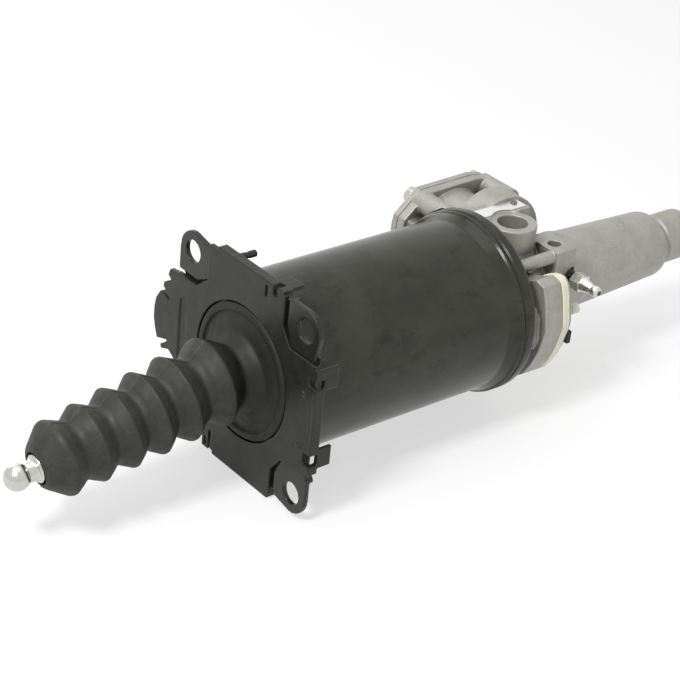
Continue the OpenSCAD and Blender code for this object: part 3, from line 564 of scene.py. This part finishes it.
def can_paint(colour):
    """Semi-gloss black paint with handling marks, dark smudges and shallow dents."""
    paint = Shader("can_paint")
    cloud = paint.ramp(paint.noise(30, 4, 0.6), [(0.34, shade(colour, 0.6)), (0.5, colour),
                                                 (0.7, shade(colour, 1.4))])
    smudge = paint.ramp(paint.noise(13, 5, 0.7, (0.6, 1, 1)), [(0.36, 0.45), (0.47, 1.0)])
    spot = paint.ramp(paint.noise(1.7, 3, 0.8), [(0.24, 1.7), (0.31, 1.0)])
    paint.colour(paint.mix(1.0, paint.mix(1.0, cloud, smudge, "MULTIPLY"), spot, "MULTIPLY"))
    paint.roughness(paint.ramp(paint.noise(17, 5, 0.65), [(0.3, 0.14), (0.7, 0.25)]))
    paint.set(Specular_IOR_Level=0.36)
    paint.bumps((paint.noise(26, 2), 0.20), (paint.noise(1.3, 2), 0.005))
    return paint.material


def flange_paint(colour):
    """Semi-gloss black paint on steel plate, a little worn along its edges."""
    paint = Shader("flange_paint")
    cloud = paint.ramp(paint.noise(12, 4, 0.6),
                       [(0.3, shade(colour, 0.8)), (0.7, shade(colour, 1.3))])
    worn = paint.ramp(paint.hollow(0.7, True), [(0.35, 1.0), (0.75, 0.0)])
    paint.colour(paint.mix(worn, cloud, shade(colour, 3.2)))
    paint.roughness(paint.ramp(paint.noise(8, 4), [(0.3, 0.22), (0.7, 0.36)]))
    paint.set(Specular_IOR_Level=0.38)
    paint.bumps((paint.noise(8, 2), 0.05), (paint.noise(0.7, 2), 0.006))
    return paint.material


def cover_plastic(colour):
    """Black moulded plastic with a slight sheen, scuffed along its edges."""
    plastic = Shader("cover_plastic")
    cloud = plastic.ramp(plastic.noise(18, 4, 0.6),
                         [(0.32, shade(colour, 0.8)), (0.68, shade(colour, 1.3))])
    worn = plastic.ramp(plastic.hollow(0.6, True), [(0.35, 1.0), (0.75, 0.0)])
    plastic.colour(plastic.mix(worn, cloud, shade(colour, 2.6)))
    plastic.roughness(plastic.ramp(plastic.noise(7, 4), [(0.3, 0.30), (0.7, 0.46)]))
    plastic.set(Specular_IOR_Level=0.32)
    plastic.bumps((plastic.noise(14, 2), 0.05), (plastic.noise(0.5, 2), 0.008))
    return plastic.material


def bellows_rubber(colour):
    """Black rubber with a dusty bloom, painted shade in the folds, and darker on the foot."""
    rubber = Shader("bellows_rubber")
    bloom = rubber.ramp(rubber.noise(9, 5, 0.7),
                        [(0.3, shade(colour, 0.72)), (0.5, colour), (0.72, shade(colour, 1.45))])
    rub = rubber.ramp(rubber.noise(1.1, 4, 0.75, (0.35, 1, 1)), [(0.3, 0.8), (0.7, 1.2)])
    # painted shade: the rubber is darkened in the folds, where shade falls
    fold_shade = rubber.ramp(rubber.hollow(8), [(0.35, 0.5), (0.95, 1.0)])
    # darker towards the foot: from X -30 mm the colour falls to 0.4 of itself at X -18 mm and
    # beyond, over the last fold and the foot
    darker_at_foot = rubber.ramp(rubber.beyond("X", -30 * MM, 12 * MM), [(0.0, 1.0), (1.0, 0.4)])
    # the dusty bloom together with the painted shade of the folds
    dusty_and_shaded = rubber.mix(1.0, rubber.mix(1.0, bloom, rub, "MULTIPLY"), fold_shade, "MULTIPLY")
    rubber.colour(rubber.mix(1.0, dusty_and_shaded, darker_at_foot, "MULTIPLY"))
    rubber.roughness(rubber.ramp(rubber.noise(6, 4), [(0.3, 0.50), (0.7, 0.66)]))
    rubber.set(Specular_IOR_Level=0.32)
    rubber.bumps((rubber.noise(5, 3), 0.05), (rubber.noise(0.7, 3), 0.012))
    return rubber.material


def sand_casting(colour):
    """Sand-cast aluminium: fine grain, painted shade in the corners and edges rubbed bright."""
    metal = Shader("sand_casting")
    stain = metal.ramp(metal.noise(15, 5, 0.65), [(0.3, shade(colour, 0.84)), (0.5, colour),
                                                  (0.74, shade(colour, 1.1))])
    speck = metal.ramp(metal.noise(0.55, 3, 0.75), [(0.3, 0.62), (0.5, 1.0), (0.75, 1.16)])
    grain = metal.mix(0.8, stain, speck, "MULTIPLY")
    # painted shade: the colour is darkened in corners and recesses, where shade falls
    hollow_shade = metal.ramp(metal.hollow(7), [(0.30, 0.36), (0.62, 0.82), (0.92, 1.0)])
    shaded_grain = metal.mix(1.0, grain, hollow_shade, "MULTIPLY")
    worn = metal.ramp(metal.hollow(1.1, True), [(0.42, 1.0), (0.70, 0.0)])
    metal.colour(metal.mix(worn, shaded_grain, shade(colour, 1.45)))
    metal.roughness(metal.ramp(metal.noise(3, 4), [(0.3, 0.40), (0.7, 0.54)]))
    metal.set(Metallic=0.55, Specular_IOR_Level=0.5)
    metal.bumps((metal.noise(2.2, 4, 0.6), 0.07), (metal.noise(0.5, 3, 0.75), 0.08))
    return metal.material


def bright_metal(name, colour, roughness, scratch_mm=0.5, stretch=(1, 1, 1), dark_from=None,
                 hollow_shade_level=0.62, patchy=0.28):
    """Plated or ground steel with fine marks and painted shade in its hollows, and dark beyond a
    place along Y if given.
    """
    metal = Shader(name)
    cloud = metal.ramp(metal.noise(5, 4, 0.65), [(0.3, shade(colour, 1 - patchy)), (0.5, colour),
                                                 (0.7, shade(colour, 1 + patchy * 0.4))])
    # painted shade: the colour is darker in corners and hollows, where shade falls
    hollow_shade = metal.ramp(metal.hollow(2), [(0.2, hollow_shade_level), (0.8, 1.0)])
    cloud = metal.mix(1.0, cloud, hollow_shade, "MULTIPLY")
    if dark_from is not None:
        cloud = metal.mix(metal.beyond("Y", dark_from, 0.4 * MM), cloud, shade(colour, 0.06))
    metal.colour(cloud)
    metal.roughness(metal.ramp(metal.noise(2.5, 4),
                               [(0.3, roughness * 0.8), (0.7, roughness * 1.3)]))
    metal.set(Metallic=1.0)
    metal.bumps((metal.noise(scratch_mm, 3, 0.6, stretch), 0.012))
    return metal.material


def plain_polymer(name, colour, roughness, grain_mm=0.8, depth_mm=0.01):
    """Seal rubber, nylon and other quiet moulded parts."""
    polymer = Shader(name)
    polymer.colour(polymer.ramp(polymer.noise(5, 4),
                                [(0.3, shade(colour, 0.85)), (0.7, shade(colour, 1.12))]))
    polymer.roughness(polymer.ramp(polymer.noise(3, 3),
                                   [(0.3, roughness * 0.85), (0.7, roughness * 1.15)]))
    polymer.bumps((polymer.noise(grain_mm, 3), depth_mm))
    return polymer.material


def finishes():
    """All materials, made once and kept by name."""
    wanted = bpy.context.scene.actuator_finish
    if "can_paint" not in bpy.data.materials:
        can_paint(wanted.can_colour)
        flange_paint(wanted.flange_colour)
        cover_plastic(wanted.cover_colour)
        bellows_rubber(wanted.rubber_colour)
        sand_casting(wanted.casting_colour)
        bright_metal("zinc_plate", (0.56, 0.56, 0.52), 0.21, hollow_shade_level=0.8, patchy=0.12)
        bright_metal("bleed_zinc", (0.66, 0.66, 0.62), 0.24, dark_from=-30.3 * MM, patchy=0.14)
        bright_metal("ground_steel", (0.62, 0.63, 0.64), 0.2, scratch_mm=0.4, stretch=(1, 6, 6))
        bright_metal("spring_steel", (0.22, 0.22, 0.23), 0.36)
        bright_metal("machined_aluminium", (0.66, 0.66, 0.65), 0.34, scratch_mm=0.35,
                     stretch=(6, 1, 1))
        bright_metal("plain_bronze", (0.55, 0.38, 0.19), 0.36)
        bright_metal("bright_plate", (0.40, 0.395, 0.37), 0.46, scratch_mm=0.3, stretch=(1, 8, 1))
        bright_metal("dull_pin", (0.17, 0.17, 0.16), 0.5)
        plain_polymer("seal_rubber", (0.02, 0.02, 0.02), 0.5)
        plain_polymer("gasket_fibre", (0.24, 0.235, 0.215), 0.7)
        plain_polymer("nylon", (0.78, 0.75, 0.66), 0.4)
        plain_polymer("cream_felt", (0.62, 0.63, 0.49), 0.85, grain_mm=0.5, depth_mm=0.12)
        plain_polymer("cream_plastic", (0.50, 0.49, 0.43), 0.55)
    return bpy.data.materials


def paint_nodes(nodes, material):
    """Gives CAD nodes that stay their material."""
    for node in nodes:
        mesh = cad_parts[node].data
        mesh.materials.clear()
        mesh.materials.append(material)


class ACTUATOR_OT_can(bpy.types.Operator):
    """Painted steel can with its flared and beaded rim."""

    bl_idname = "actuator.can"
    bl_label = "Can"

    RADIUS = 51.0
    WALL = 2.0
    FLARE = (-18.4, -9.9)
    RIM = ((-1.7, 53.2), (-0.7, 54.5), (0.4, 54.7), (1.3, 53.7), (2.6, 53.5), (3.2, 54.6),
           (4.4, 54.7))
    LIP = ((-2.0, 0), (-0.6, -0.6), (0, -2.2), (0, -4.4), (-WALL, -4.4))
    LIP_GAP = 0.6
    CORNER = 1.1
    STEPS = 256

    def execute(self, context):
        low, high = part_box("cylinder_tube")
        front, rear = low[0] / MM, high[0] / MM
        edge = high[2] / MM
        start, end = (rear + x for x in self.FLARE)
        outline = [(front, self.RADIUS), (start, self.RADIUS)]
        outline += [(end + x, r) for x, r in self.RIM]
        outline += [(rear + x, edge + r) for x, r in self.LIP]
        inner = edge - self.WALL - self.LIP_GAP
        outline += [(rear - self.WALL, inner), (end, inner),
                    (start, self.RADIUS - self.WALL), (front, self.RADIUS - self.WALL)]
        path = rounded(outline, self.CORNER)
        mesh = revolve([(x * MM, r * MM) for x, r in path + path[:1]], self.STEPS)
        turn_outwards(mesh)
        can = add_piece("cylinder_tube_finish", mesh, "housing", finishes()["can_paint"],
                        "black_paint_can", "cylinder_tube")
        smooth(can.data, 60)
        return {"FINISHED"}


class ACTUATOR_OT_flange(bpy.types.Operator):
    """Steel ear flange and the plastic cover that is clipped over it."""

    bl_idname = "actuator.flange"
    bl_label = "Flange and cover"

    PEG_START = (1.0 * MM, 14 * MM)
    PEG_RISE = 0.3 * MM
    PEG_SHANK = (3.4 * MM, 9 * MM)
    PEG_HEAD = (4 * MM, 4.5 * MM)

    def execute(self, context):
        materials = finishes()
        worn_round("mounting_flange", "housing", materials["flange_paint"],
                   "black_painted_steel", voxel=0.45 * MM, passes=6, share=0.3)
        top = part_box("mounting_flange")[1][2]
        plastic = materials["cover_plastic"]
        peg = fasteners("cover_peg", [(*self.PEG_START, top + self.PEG_RISE)],
                        (0.0, math.pi / 2, 0.0), plastic, self.PEG_SHANK, self.PEG_HEAD)
        worn_round("flange_cover", "housing", plastic, "black_plastic",
                   voxel=0.4 * MM, passes=4, share=0.25, more=peg)
        return {"FINISHED"}


class ACTUATOR_OT_bellows(bpy.types.Operator):
    """Rubber bellows: a folded sleeve that follows the rod, and a dished foot that stays."""

    bl_idname = "actuator.bellows"
    bl_label = "Bellows"

    BEND_X = -20.1 * MM
    BEND_L = 8 * MM
    BASE = -10.5 * MM
    TIP = 109.3 * MM
    FIRST_FOLD = 96.1 * MM
    LAST_FOLD = 1.4 * MM
    NOSE_RADIUS = 9.4 * MM
    STROKE = 75 * MM
    WALL = 1.6 * MM
    MOULD_PLANE = math.radians(85)
    MOULD_WIDTH = 0.7 * MM
    CROWD = 0.86
    COLUMNS = 128
    RINGS = 40
    FOOT_STEPS = 160
    FOLD = ((0, 0), (0.05, 0.02), (0.12, 0.10), (0.5, 0.52), (0.86, 0.93), (1, 1))
    NOSE = ((0, 1), (0.14, 0.965), (0.32, 0.81), (0.64, 0.51), (0.9, 0.25), (0.97, 0.12), (1, 0))
    FOOT = ((-10.4, 17.9), (-9.4, 17.95), (-8.2, 18.5), (-6.6, 20.0), (-5.0, 21.9),
            (-3.9, 22.85), (-3.1, 23.3), (-2.5, 23.9), (-2.1, 25.0), (-1.7, 27.2),
            (-1.2, 30.0), (-0.6, 32.4), (-0.2, 33.6), (-0.15, 34.1), (-0.6, 34.5),
            (-1.25, 34.75), (-1.5, 35.2), (-1.45, 36.5), (-1.2, 38.0), (-0.8, 38.8),
            (-0.2, 39.2), (1.9, 39.2))
    VALLEYS = (16.9 * MM, 18.3 * MM)

    def sleeve(self, wanted, material):
        """Tree for the folded length: radius by a fold rule, rings along a bent line."""
        tree = ShapeTree(
            "folded_sleeve", folds=wanted.folds, pitch=wanted.pitch,
            first_radius=wanted.first_radius, last_radius=wanted.last_radius,
            first_valley=self.VALLEYS[0], last_valley=self.VALLEYS[1],
            droop=wanted.droop, mould_line=wanted.mould_line, rubber=material)
        value = tree.value
        last = value("folds") - 1
        grid = tree.node("GeometryNodeMeshGrid", {
            "Size X": 1.0, "Size Y": 1.0, "Vertices X": value("folds") * self.RINGS,
            "Vertices Y": self.COLUMNS + 1}).outputs[0]
        parts = tree.node("ShaderNodeSeparateXYZ",
                          {0: tree.node("GeometryNodeInputPosition").outputs[0]})
        along = Field(tree, parts.outputs["X"]) + 0.5
        turn = (Field(tree, parts.outputs["Y"]) + 0.5) * ROUND

        station = along * (self.TIP - self.BASE) + self.BASE
        next_to_last = self.FIRST_FOLD - (last - 1) * value("pitch")
        foot_pitch = next_to_last - self.LAST_FOLD
        fold = (((self.FIRST_FOLD - station) / value("pitch")).call("MINIMUM", last - 1)
                + ((next_to_last - station) / foot_pitch).call("MAXIMUM", 0.0))
        whole = fold.call("MAXIMUM", 0.0)
        crest = (value("first_radius")
                 + (value("last_radius") - value("first_radius")) * whole / last)
        valley = (value("first_valley")
                  + (value("last_valley") - value("first_valley")) * whole / last)
        swing = 1 - (whole.call("FRACT") * 2 - 1).call("ABSOLUTE")
        radius = crest - (crest - valley) * tree.curve(swing, self.FOLD)
        nose = ((station - self.FIRST_FOLD) / (self.TIP - self.FIRST_FOLD)).call("MAXIMUM", 0.0)
        radius = (radius - self.NOSE_RADIUS) * tree.curve(nose, self.NOSE) + self.NOSE_RADIUS

        angle = turn - (turn * 2).call("SINE") * (self.CROWD / 2)
        beside = (angle.call("SINE").call("ABSOLUTE") * radius / self.MOULD_WIDTH).call(
            "MINIMUM", 1.0)
        radius = radius + value("mould_line") * (1 - beside)
        angle = angle + self.MOULD_PLANE

        share = ((station + self.BEND_L) / (2 * self.BEND_L)).call("MAXIMUM", 0.0).call(
            "MINIMUM", 1.0)
        ease = share * share * (3 - share * 2)
        run = (share * share * share * (1 - share * 0.5) * (2 * self.BEND_L)
               + (station - self.BEND_L).call("MAXIMUM", 0.0))
        slope = value("droop") * ease
        up = angle.call("SINE") * radius
        x = (self.BEND_X - station + (1 - value("droop").call("COSINE")) * run
             - slope.call("SINE") * up)
        y = angle.call("COSINE") * radius
        z = slope.call("COSINE") * up - value("droop").call("SINE") * run
        placed = tree.node("GeometryNodeSetPosition",
                           {"Geometry": grid, "Position": tree.vector(x, y, z)}).outputs[0]
        closed = tree.node("GeometryNodeMergeByDistance",
                           {"Geometry": placed, "Distance": 0.01 * MM}).outputs[0]
        whole_shape = tree.node("GeometryNodeRealizeInstances", {"Geometry": closed}).outputs[0]
        painted = tree.node("GeometryNodeSetMaterial", {
            "Geometry": whole_shape, "Material": value("rubber")}).outputs[0]
        tree.put(tree.result, painted)
        return tree.grow("bellows_sleeve")

    def execute(self, context):
        material = finishes()["bellows_rubber"]
        wanted = context.scene.actuator_bellows
        mesh = self.sleeve(wanted, material)
        turn_outwards(mesh)
        sleeve = add_piece("bellows_sleeve", mesh, "rod", material, "black_rubber", "bellows")
        thicken(sleeve, self.WALL)
        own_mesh(sleeve)

        foot = revolve([(x * MM, r * MM) for x, r in self.FOOT], self.FOOT_STEPS)
        turn_outwards(foot)
        foot = add_piece("bellows_foot", foot, "housing", material, "black_rubber", "bellows")
        thicken(foot, self.WALL)
        return {"FINISHED"}


class ACTUATOR_OT_casting(bpy.types.Operator):
    """Sand-cast head with the hydraulic cylinder, and the plates on its two chambers."""

    bl_idname = "actuator.casting"
    bl_label = "Head casting"

    FILTER_CORNER = 5 * MM
    COVER_CORNER = 4 * MM
    SCREW_HEAD = (10.4 * MM, 5 * MM)
    SCREW_SHANK = 6 * MM
    SCREW_SOCKET = (5.6 * MM, 2.8 * MM)
    KNOB_WIDTHS = (5.2 * MM, 6.5 * MM)
    KNOB_SOCKET = (3 * MM, 1.5 * MM)
    KNOB_SHANK_SHARE = 0.45
    KNOBS = ((-46.5, 5.5), (-38, -22), (-30, -36))

    def execute(self, context):
        materials = finishes()
        edge = context.scene.actuator_finish.edge_radius
        worn_round("servo_body", "housing", materials["sand_casting"], "cast_aluminium",
                   voxel=0.5 * MM, passes=5, share=0.2, flat=False)
        softened("valve_cover", "housing", materials["sand_casting"], "cast_aluminium",
                 edge * 2, segments=3)
        softened("exhaust_cover", "housing", materials["sand_casting"], "cast_aluminium", edge,
                 corner=self.COVER_CORNER)
        softened("exhaust_filter", "housing", materials["cream_felt"], "cream_felt", edge * 2,
                 segments=3, corner=self.FILTER_CORNER)
        softened("exhaust_flap", "housing", materials["seal_rubber"], "seal_rubber", edge)
        self.knobs(materials["cream_plastic"], edge)
        self.cover_screws(materials["zinc_plate"], edge)
        paint_nodes(["valve_cover_gasket"], materials["gasket_fibre"])
        return {"FINISHED"}

    def cover_screws(self, material, edge):
        """Four cap screws whose heads stand on the far side of the valve cover."""
        low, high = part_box("valve_cover_screws")
        reach = self.SCREW_HEAD[0] / 2
        places = [(x, low[1], z) for x in (low[0] + reach, high[0] - reach)
                  for z in (low[2] + reach, high[2] - reach)]
        shank = high[1] - low[1] - self.SCREW_HEAD[1]
        screws = fasteners("cap_screws", places, (-math.pi / 2, 0.0, 0.0), material,
                           (self.SCREW_SHANK, shank), self.SCREW_HEAD, self.SCREW_SOCKET)
        softened("valve_cover_screws", "housing", material, "zinc_steel", edge, segments=3,
                 shape=screws)

    def knobs(self, material, edge):
        """Three small plastic knobs that hold the exhaust cover."""
        low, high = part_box("exhaust_cover_screws")
        places = [(low[0], y * MM, z * MM) for y, z in self.KNOBS]
        long = high[0] - low[0]
        shank, head = self.KNOB_WIDTHS
        knobs = fasteners("knobs", places, (0.0, math.pi / 2, 0.0), material,
                          (shank, long * self.KNOB_SHANK_SHARE),
                          (head, long * (1 - self.KNOB_SHANK_SHARE)), self.KNOB_SOCKET)
        softened("exhaust_cover_screws", "housing", material, "cream_plastic", edge, segments=3,
                 shape=knobs)


class ACTUATOR_OT_fittings(bpy.types.Operator):
    """Bleed screw, push rod, bare plate and its pin."""

    bl_idname = "actuator.fittings"
    bl_label = "Bright fittings"

    THREAD_START = (222 * MM, -30.4 * MM, 12.5 * MM)
    THREAD_RADII = (3.3 * MM, 4.0 * MM)
    THREAD_PITCH = 1.0 * MM
    THREAD_TURNS = 12
    THREAD_STEPS = 40

    def thread(self):
        """Thread of the bleed screw between its hexagon and the casting, as plain rings."""
        root, crest = self.THREAD_RADII
        outline = [(0, 0)]
        for turn in range(self.THREAD_TURNS):
            start = turn * self.THREAD_PITCH
            outline += [(start, root), (start + 0.45 * self.THREAD_PITCH, crest),
                        (start + 0.55 * self.THREAD_PITCH, crest)]
        end = self.THREAD_TURNS * self.THREAD_PITCH
        mesh = revolve(outline + [(end, root), (end, 0)], self.THREAD_STEPS)
        mesh.transform(Matrix.Translation(self.THREAD_START)
                       @ Matrix.Rotation(math.pi / 2, 4, "Z"))
        turn_outwards(mesh)
        return mesh

    def execute(self, context):
        materials = finishes()
        edge = context.scene.actuator_finish.edge_radius
        worn_round("push_rod", "rod", materials["zinc_plate"], "zinc_steel",
                   voxel=0.35 * MM, passes=8, share=0.35)
        softened("bleed_screw", "bleeder", materials["bleed_zinc"], "zinc_steel", edge,
                 more=self.thread())
        softened("identification_plate", "housing", materials["bright_plate"],
                 "bright_plate", edge / 3)
        softened("plate_pin", "housing", materials["dull_pin"], "bright_plate", edge)
        return {"FINISHED"}


class ACTUATOR_OT_inside(bpy.types.Operator):
    """Finishes of the pieces inside the can, the cylinder and the valve."""

    bl_idname = "actuator.inside"
    bl_label = "Inner pieces"

    FINISH = {
        "nylon": ("rod_seat", "piston_guide_ring"),
        "spring_steel": ("seat_retaining_ring", "gland_retaining_ring"),
        "machined_aluminium": ("air_piston", "piston_hub", "valve_piston"),
        "seal_rubber": ("piston_lip_seal", "tube_seal", "plunger_seal", "plunger_wiper",
                        "control_plunger_seal", "valve_piston_seal", "inlet_valve"),
        "ground_steel": ("hydraulic_plunger", "control_plunger"),
        "plain_bronze": ("plunger_guide_bush", "valve_seat"),
    }

    def execute(self, context):
        materials = finishes()
        for material, nodes in self.FINISH.items():
            paint_nodes(nodes, materials[material])
        return {"FINISHED"}


class ACTUATOR_OT_springs(bpy.types.Operator):
    """Coil springs as their CAD shapes, smooth-shaded and riding on the housing."""

    bl_idname = "actuator.springs"
    bl_label = "Springs"

    SPRINGS = (("preload_spring", "piston_stroke", 0, 75 * MM),
               ("valve_return_spring", "control_stroke", 1, 3 * MM),
               ("inlet_valve_spring", "inlet_stroke", 1, 2 * MM))

    def execute(self, context):
        material = finishes()["spring_steel"]
        for node, joint, axis, travel in self.SPRINGS:
            low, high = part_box(node)
            mesh = joined_mesh(node, 0)
            smooth(mesh, 60)
            spring = add_piece(node + "_coils", mesh, "housing", material, "spring_steel", node)
            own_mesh(spring)
        return {"FINISHED"}


class ACTUATOR_OT_stage(bpy.types.Operator):
    """Pale floor, soft light and the camera of the photograph."""

    bl_idname = "actuator.stage"
    bl_label = "Stage"

    FLOOR_GLOW = 0.6
    FLOOR_REACH = 6.0
    FLOOR_DROP = 0.5 * MM
    LIT_MIDDLE = (0.1, 0, 0)
    KEY = ((0.0, 0.35, 1.4), 1.5)
    BACK = ((0.25, 1.35, 0.35), 0.9)
    BACK_SHARE = 0.45
    GLINT = ((-0.75, -0.2, 1.0), 0.3)

    def execute(self, context):
        wanted = context.scene.actuator_stage
        self.floor()
        self.world(wanted)
        self.lamps(wanted)
        self.camera(context.scene, wanted)
        context.scene.view_settings.view_transform = "Standard"
        return {"FINISHED"}

    def floor(self):
        size = self.FLOOR_REACH
        height = CAD_BOX[0][2] - self.FLOOR_DROP
        mesh = bpy.data.meshes.new("floor")
        corners = [(-size, -size, height), (size, -size, height), (size, size, height),
                   (-size, size, height)]
        mesh.from_pydata(corners, [], [(0, 1, 2, 3)])
        floor = bpy.data.objects.new("floor", mesh)
        bpy.context.scene.collection.objects.link(floor)
        white = Shader("floor_white")
        white.set(Base_Color=(0.93, 0.93, 0.93, 1), Roughness=0.9)
        tree = white.material.node_tree
        glow = white.nodes.new("ShaderNodeEmission")
        glow.inputs["Strength"].default_value = 1
        choose = white.nodes.new("ShaderNodeMixShader")
        share = white.nodes.new("ShaderNodeMath")
        share.operation = "MULTIPLY"
        share.inputs[1].default_value = self.FLOOR_GLOW
        tree.links.new(self.seen(tree), share.inputs[0])
        tree.links.new(share.outputs[0], choose.inputs["Fac"])
        tree.links.new(white.surface.outputs[0], choose.inputs[1])
        tree.links.new(glow.outputs[0], choose.inputs[2])
        tree.links.new(choose.outputs[0], white.nodes["Material Output"].inputs["Surface"])
        mesh.materials.append(white.material)

    def seen(self, tree):
        """1 for rays from the camera and rays that mirror or pass on to the camera."""
        path = tree.nodes.new("ShaderNodeLightPath")
        either = path.outputs["Is Camera Ray"]
        for kind in ("Is Glossy Ray", "Is Transmission Ray"):
            node = tree.nodes.new("ShaderNodeMath")
            node.operation = "MAXIMUM"
            tree.links.new(either, node.inputs[0])
            tree.links.new(path.outputs[kind], node.inputs[1])
            either = node.outputs[0]
        return either

    def world(self, wanted):
        world = bpy.data.worlds.new("studio")
        world.use_nodes = True
        tree = world.node_tree
        sky = tree.nodes["Background"]
        sky.inputs["Color"].default_value = (1, 1, 1, 1)
        sky.inputs["Strength"].default_value = wanted.sky
        seen = tree.nodes.new("ShaderNodeBackground")
        seen.inputs["Strength"].default_value = 1
        seen.inputs["Color"].default_value = (1, 1, 1, 1)
        choose = tree.nodes.new("ShaderNodeMixShader")
        tree.links.new(self.seen(tree), choose.inputs["Fac"])
        tree.links.new(sky.outputs["Background"], choose.inputs[1])
        tree.links.new(seen.outputs["Background"], choose.inputs[2])
        tree.links.new(choose.outputs["Shader"], tree.nodes["World Output"].inputs["Surface"])
        bpy.context.scene.world = world

    def lamp(self, name, place, size, power):
        data = bpy.data.lights.new(name, "AREA")
        data.shape = "DISK"
        data.size = size
        data.energy = power
        lamp = bpy.data.objects.new(name, data)
        lamp.location = place
        aim = Vector(self.LIT_MIDDLE) - Vector(place)
        lamp.rotation_euler = aim.to_track_quat("-Z", "Y").to_euler()
        bpy.context.scene.collection.objects.link(lamp)

    def lamps(self, wanted):
        self.lamp("key", *self.KEY, wanted.key_power)
        self.lamp("back", *self.BACK, wanted.key_power * self.BACK_SHARE)
        self.lamp("glint", *self.GLINT, wanted.glint_power)

    def camera(self, scene, wanted):
        azimuth, elevation, roll = (wanted.camera_azimuth, wanted.camera_elevation,
                                    wanted.camera_roll)
        view = Vector((math.sin(azimuth) * math.cos(elevation),
                       math.cos(azimuth) * math.cos(elevation), -math.sin(elevation)))
        level = Vector((math.cos(azimuth), -math.sin(azimuth), 0))
        up = level.cross(view)
        right = level * math.cos(roll) + up * math.sin(roll)
        top = up * math.cos(roll) - level * math.sin(roll)
        turn = Matrix((right, top, -view)).transposed().to_4x4()
        data = bpy.data.cameras.new("camera")
        data.lens = wanted.lens
        data.sensor_width = 36
        camera = bpy.data.objects.new("camera", data)
        camera.matrix_world = Matrix.Translation(wanted.camera_place) @ turn
        scene.collection.objects.link(camera)
        scene.camera = camera


OPERATORS = (ACTUATOR_OT_stage, ACTUATOR_OT_can, ACTUATOR_OT_flange, ACTUATOR_OT_bellows,
             ACTUATOR_OT_casting, ACTUATOR_OT_fittings, ACTUATOR_OT_springs, ACTUATOR_OT_inside)


class ACTUATOR_PT_panel(bpy.types.Panel):
    """Lists the steps that build the actuator."""

    bl_idname = "ACTUATOR_PT_panel"
    bl_label = "Clutch Actuator"
    bl_space_type = "VIEW_3D"
    bl_region_type = "UI"
    bl_category = "Actuator"

    def draw(self, context):
        layout = self.layout
        for group in ("actuator_finish", "actuator_bellows", "actuator_stage"):
            settings = getattr(context.scene, group)
            for name in settings.__annotations__:
                layout.prop(settings, name)
        for operator in OPERATORS:
            layout.operator(operator.bl_idname)


CLASSES = (ActuatorFinish, ActuatorBellows, ActuatorStage, *OPERATORS, ACTUATOR_PT_panel)


def register():
    for one in CLASSES:
        bpy.utils.register_class(one)
    bpy.types.Scene.actuator_finish = bpy.props.PointerProperty(type=ActuatorFinish)
    bpy.types.Scene.actuator_bellows = bpy.props.PointerProperty(type=ActuatorBellows)
    bpy.types.Scene.actuator_stage = bpy.props.PointerProperty(type=ActuatorStage)


def unregister():
    del bpy.types.Scene.actuator_stage
    del bpy.types.Scene.actuator_bellows
    del bpy.types.Scene.actuator_finish
    for one in reversed(CLASSES):
        bpy.utils.unregister_class(one)


def main():
    register()
    for operator in OPERATORS:
        group, name = operator.bl_idname.split(".")
        getattr(getattr(bpy.ops, group), name)()


if __name__ == "__main__":
    main()
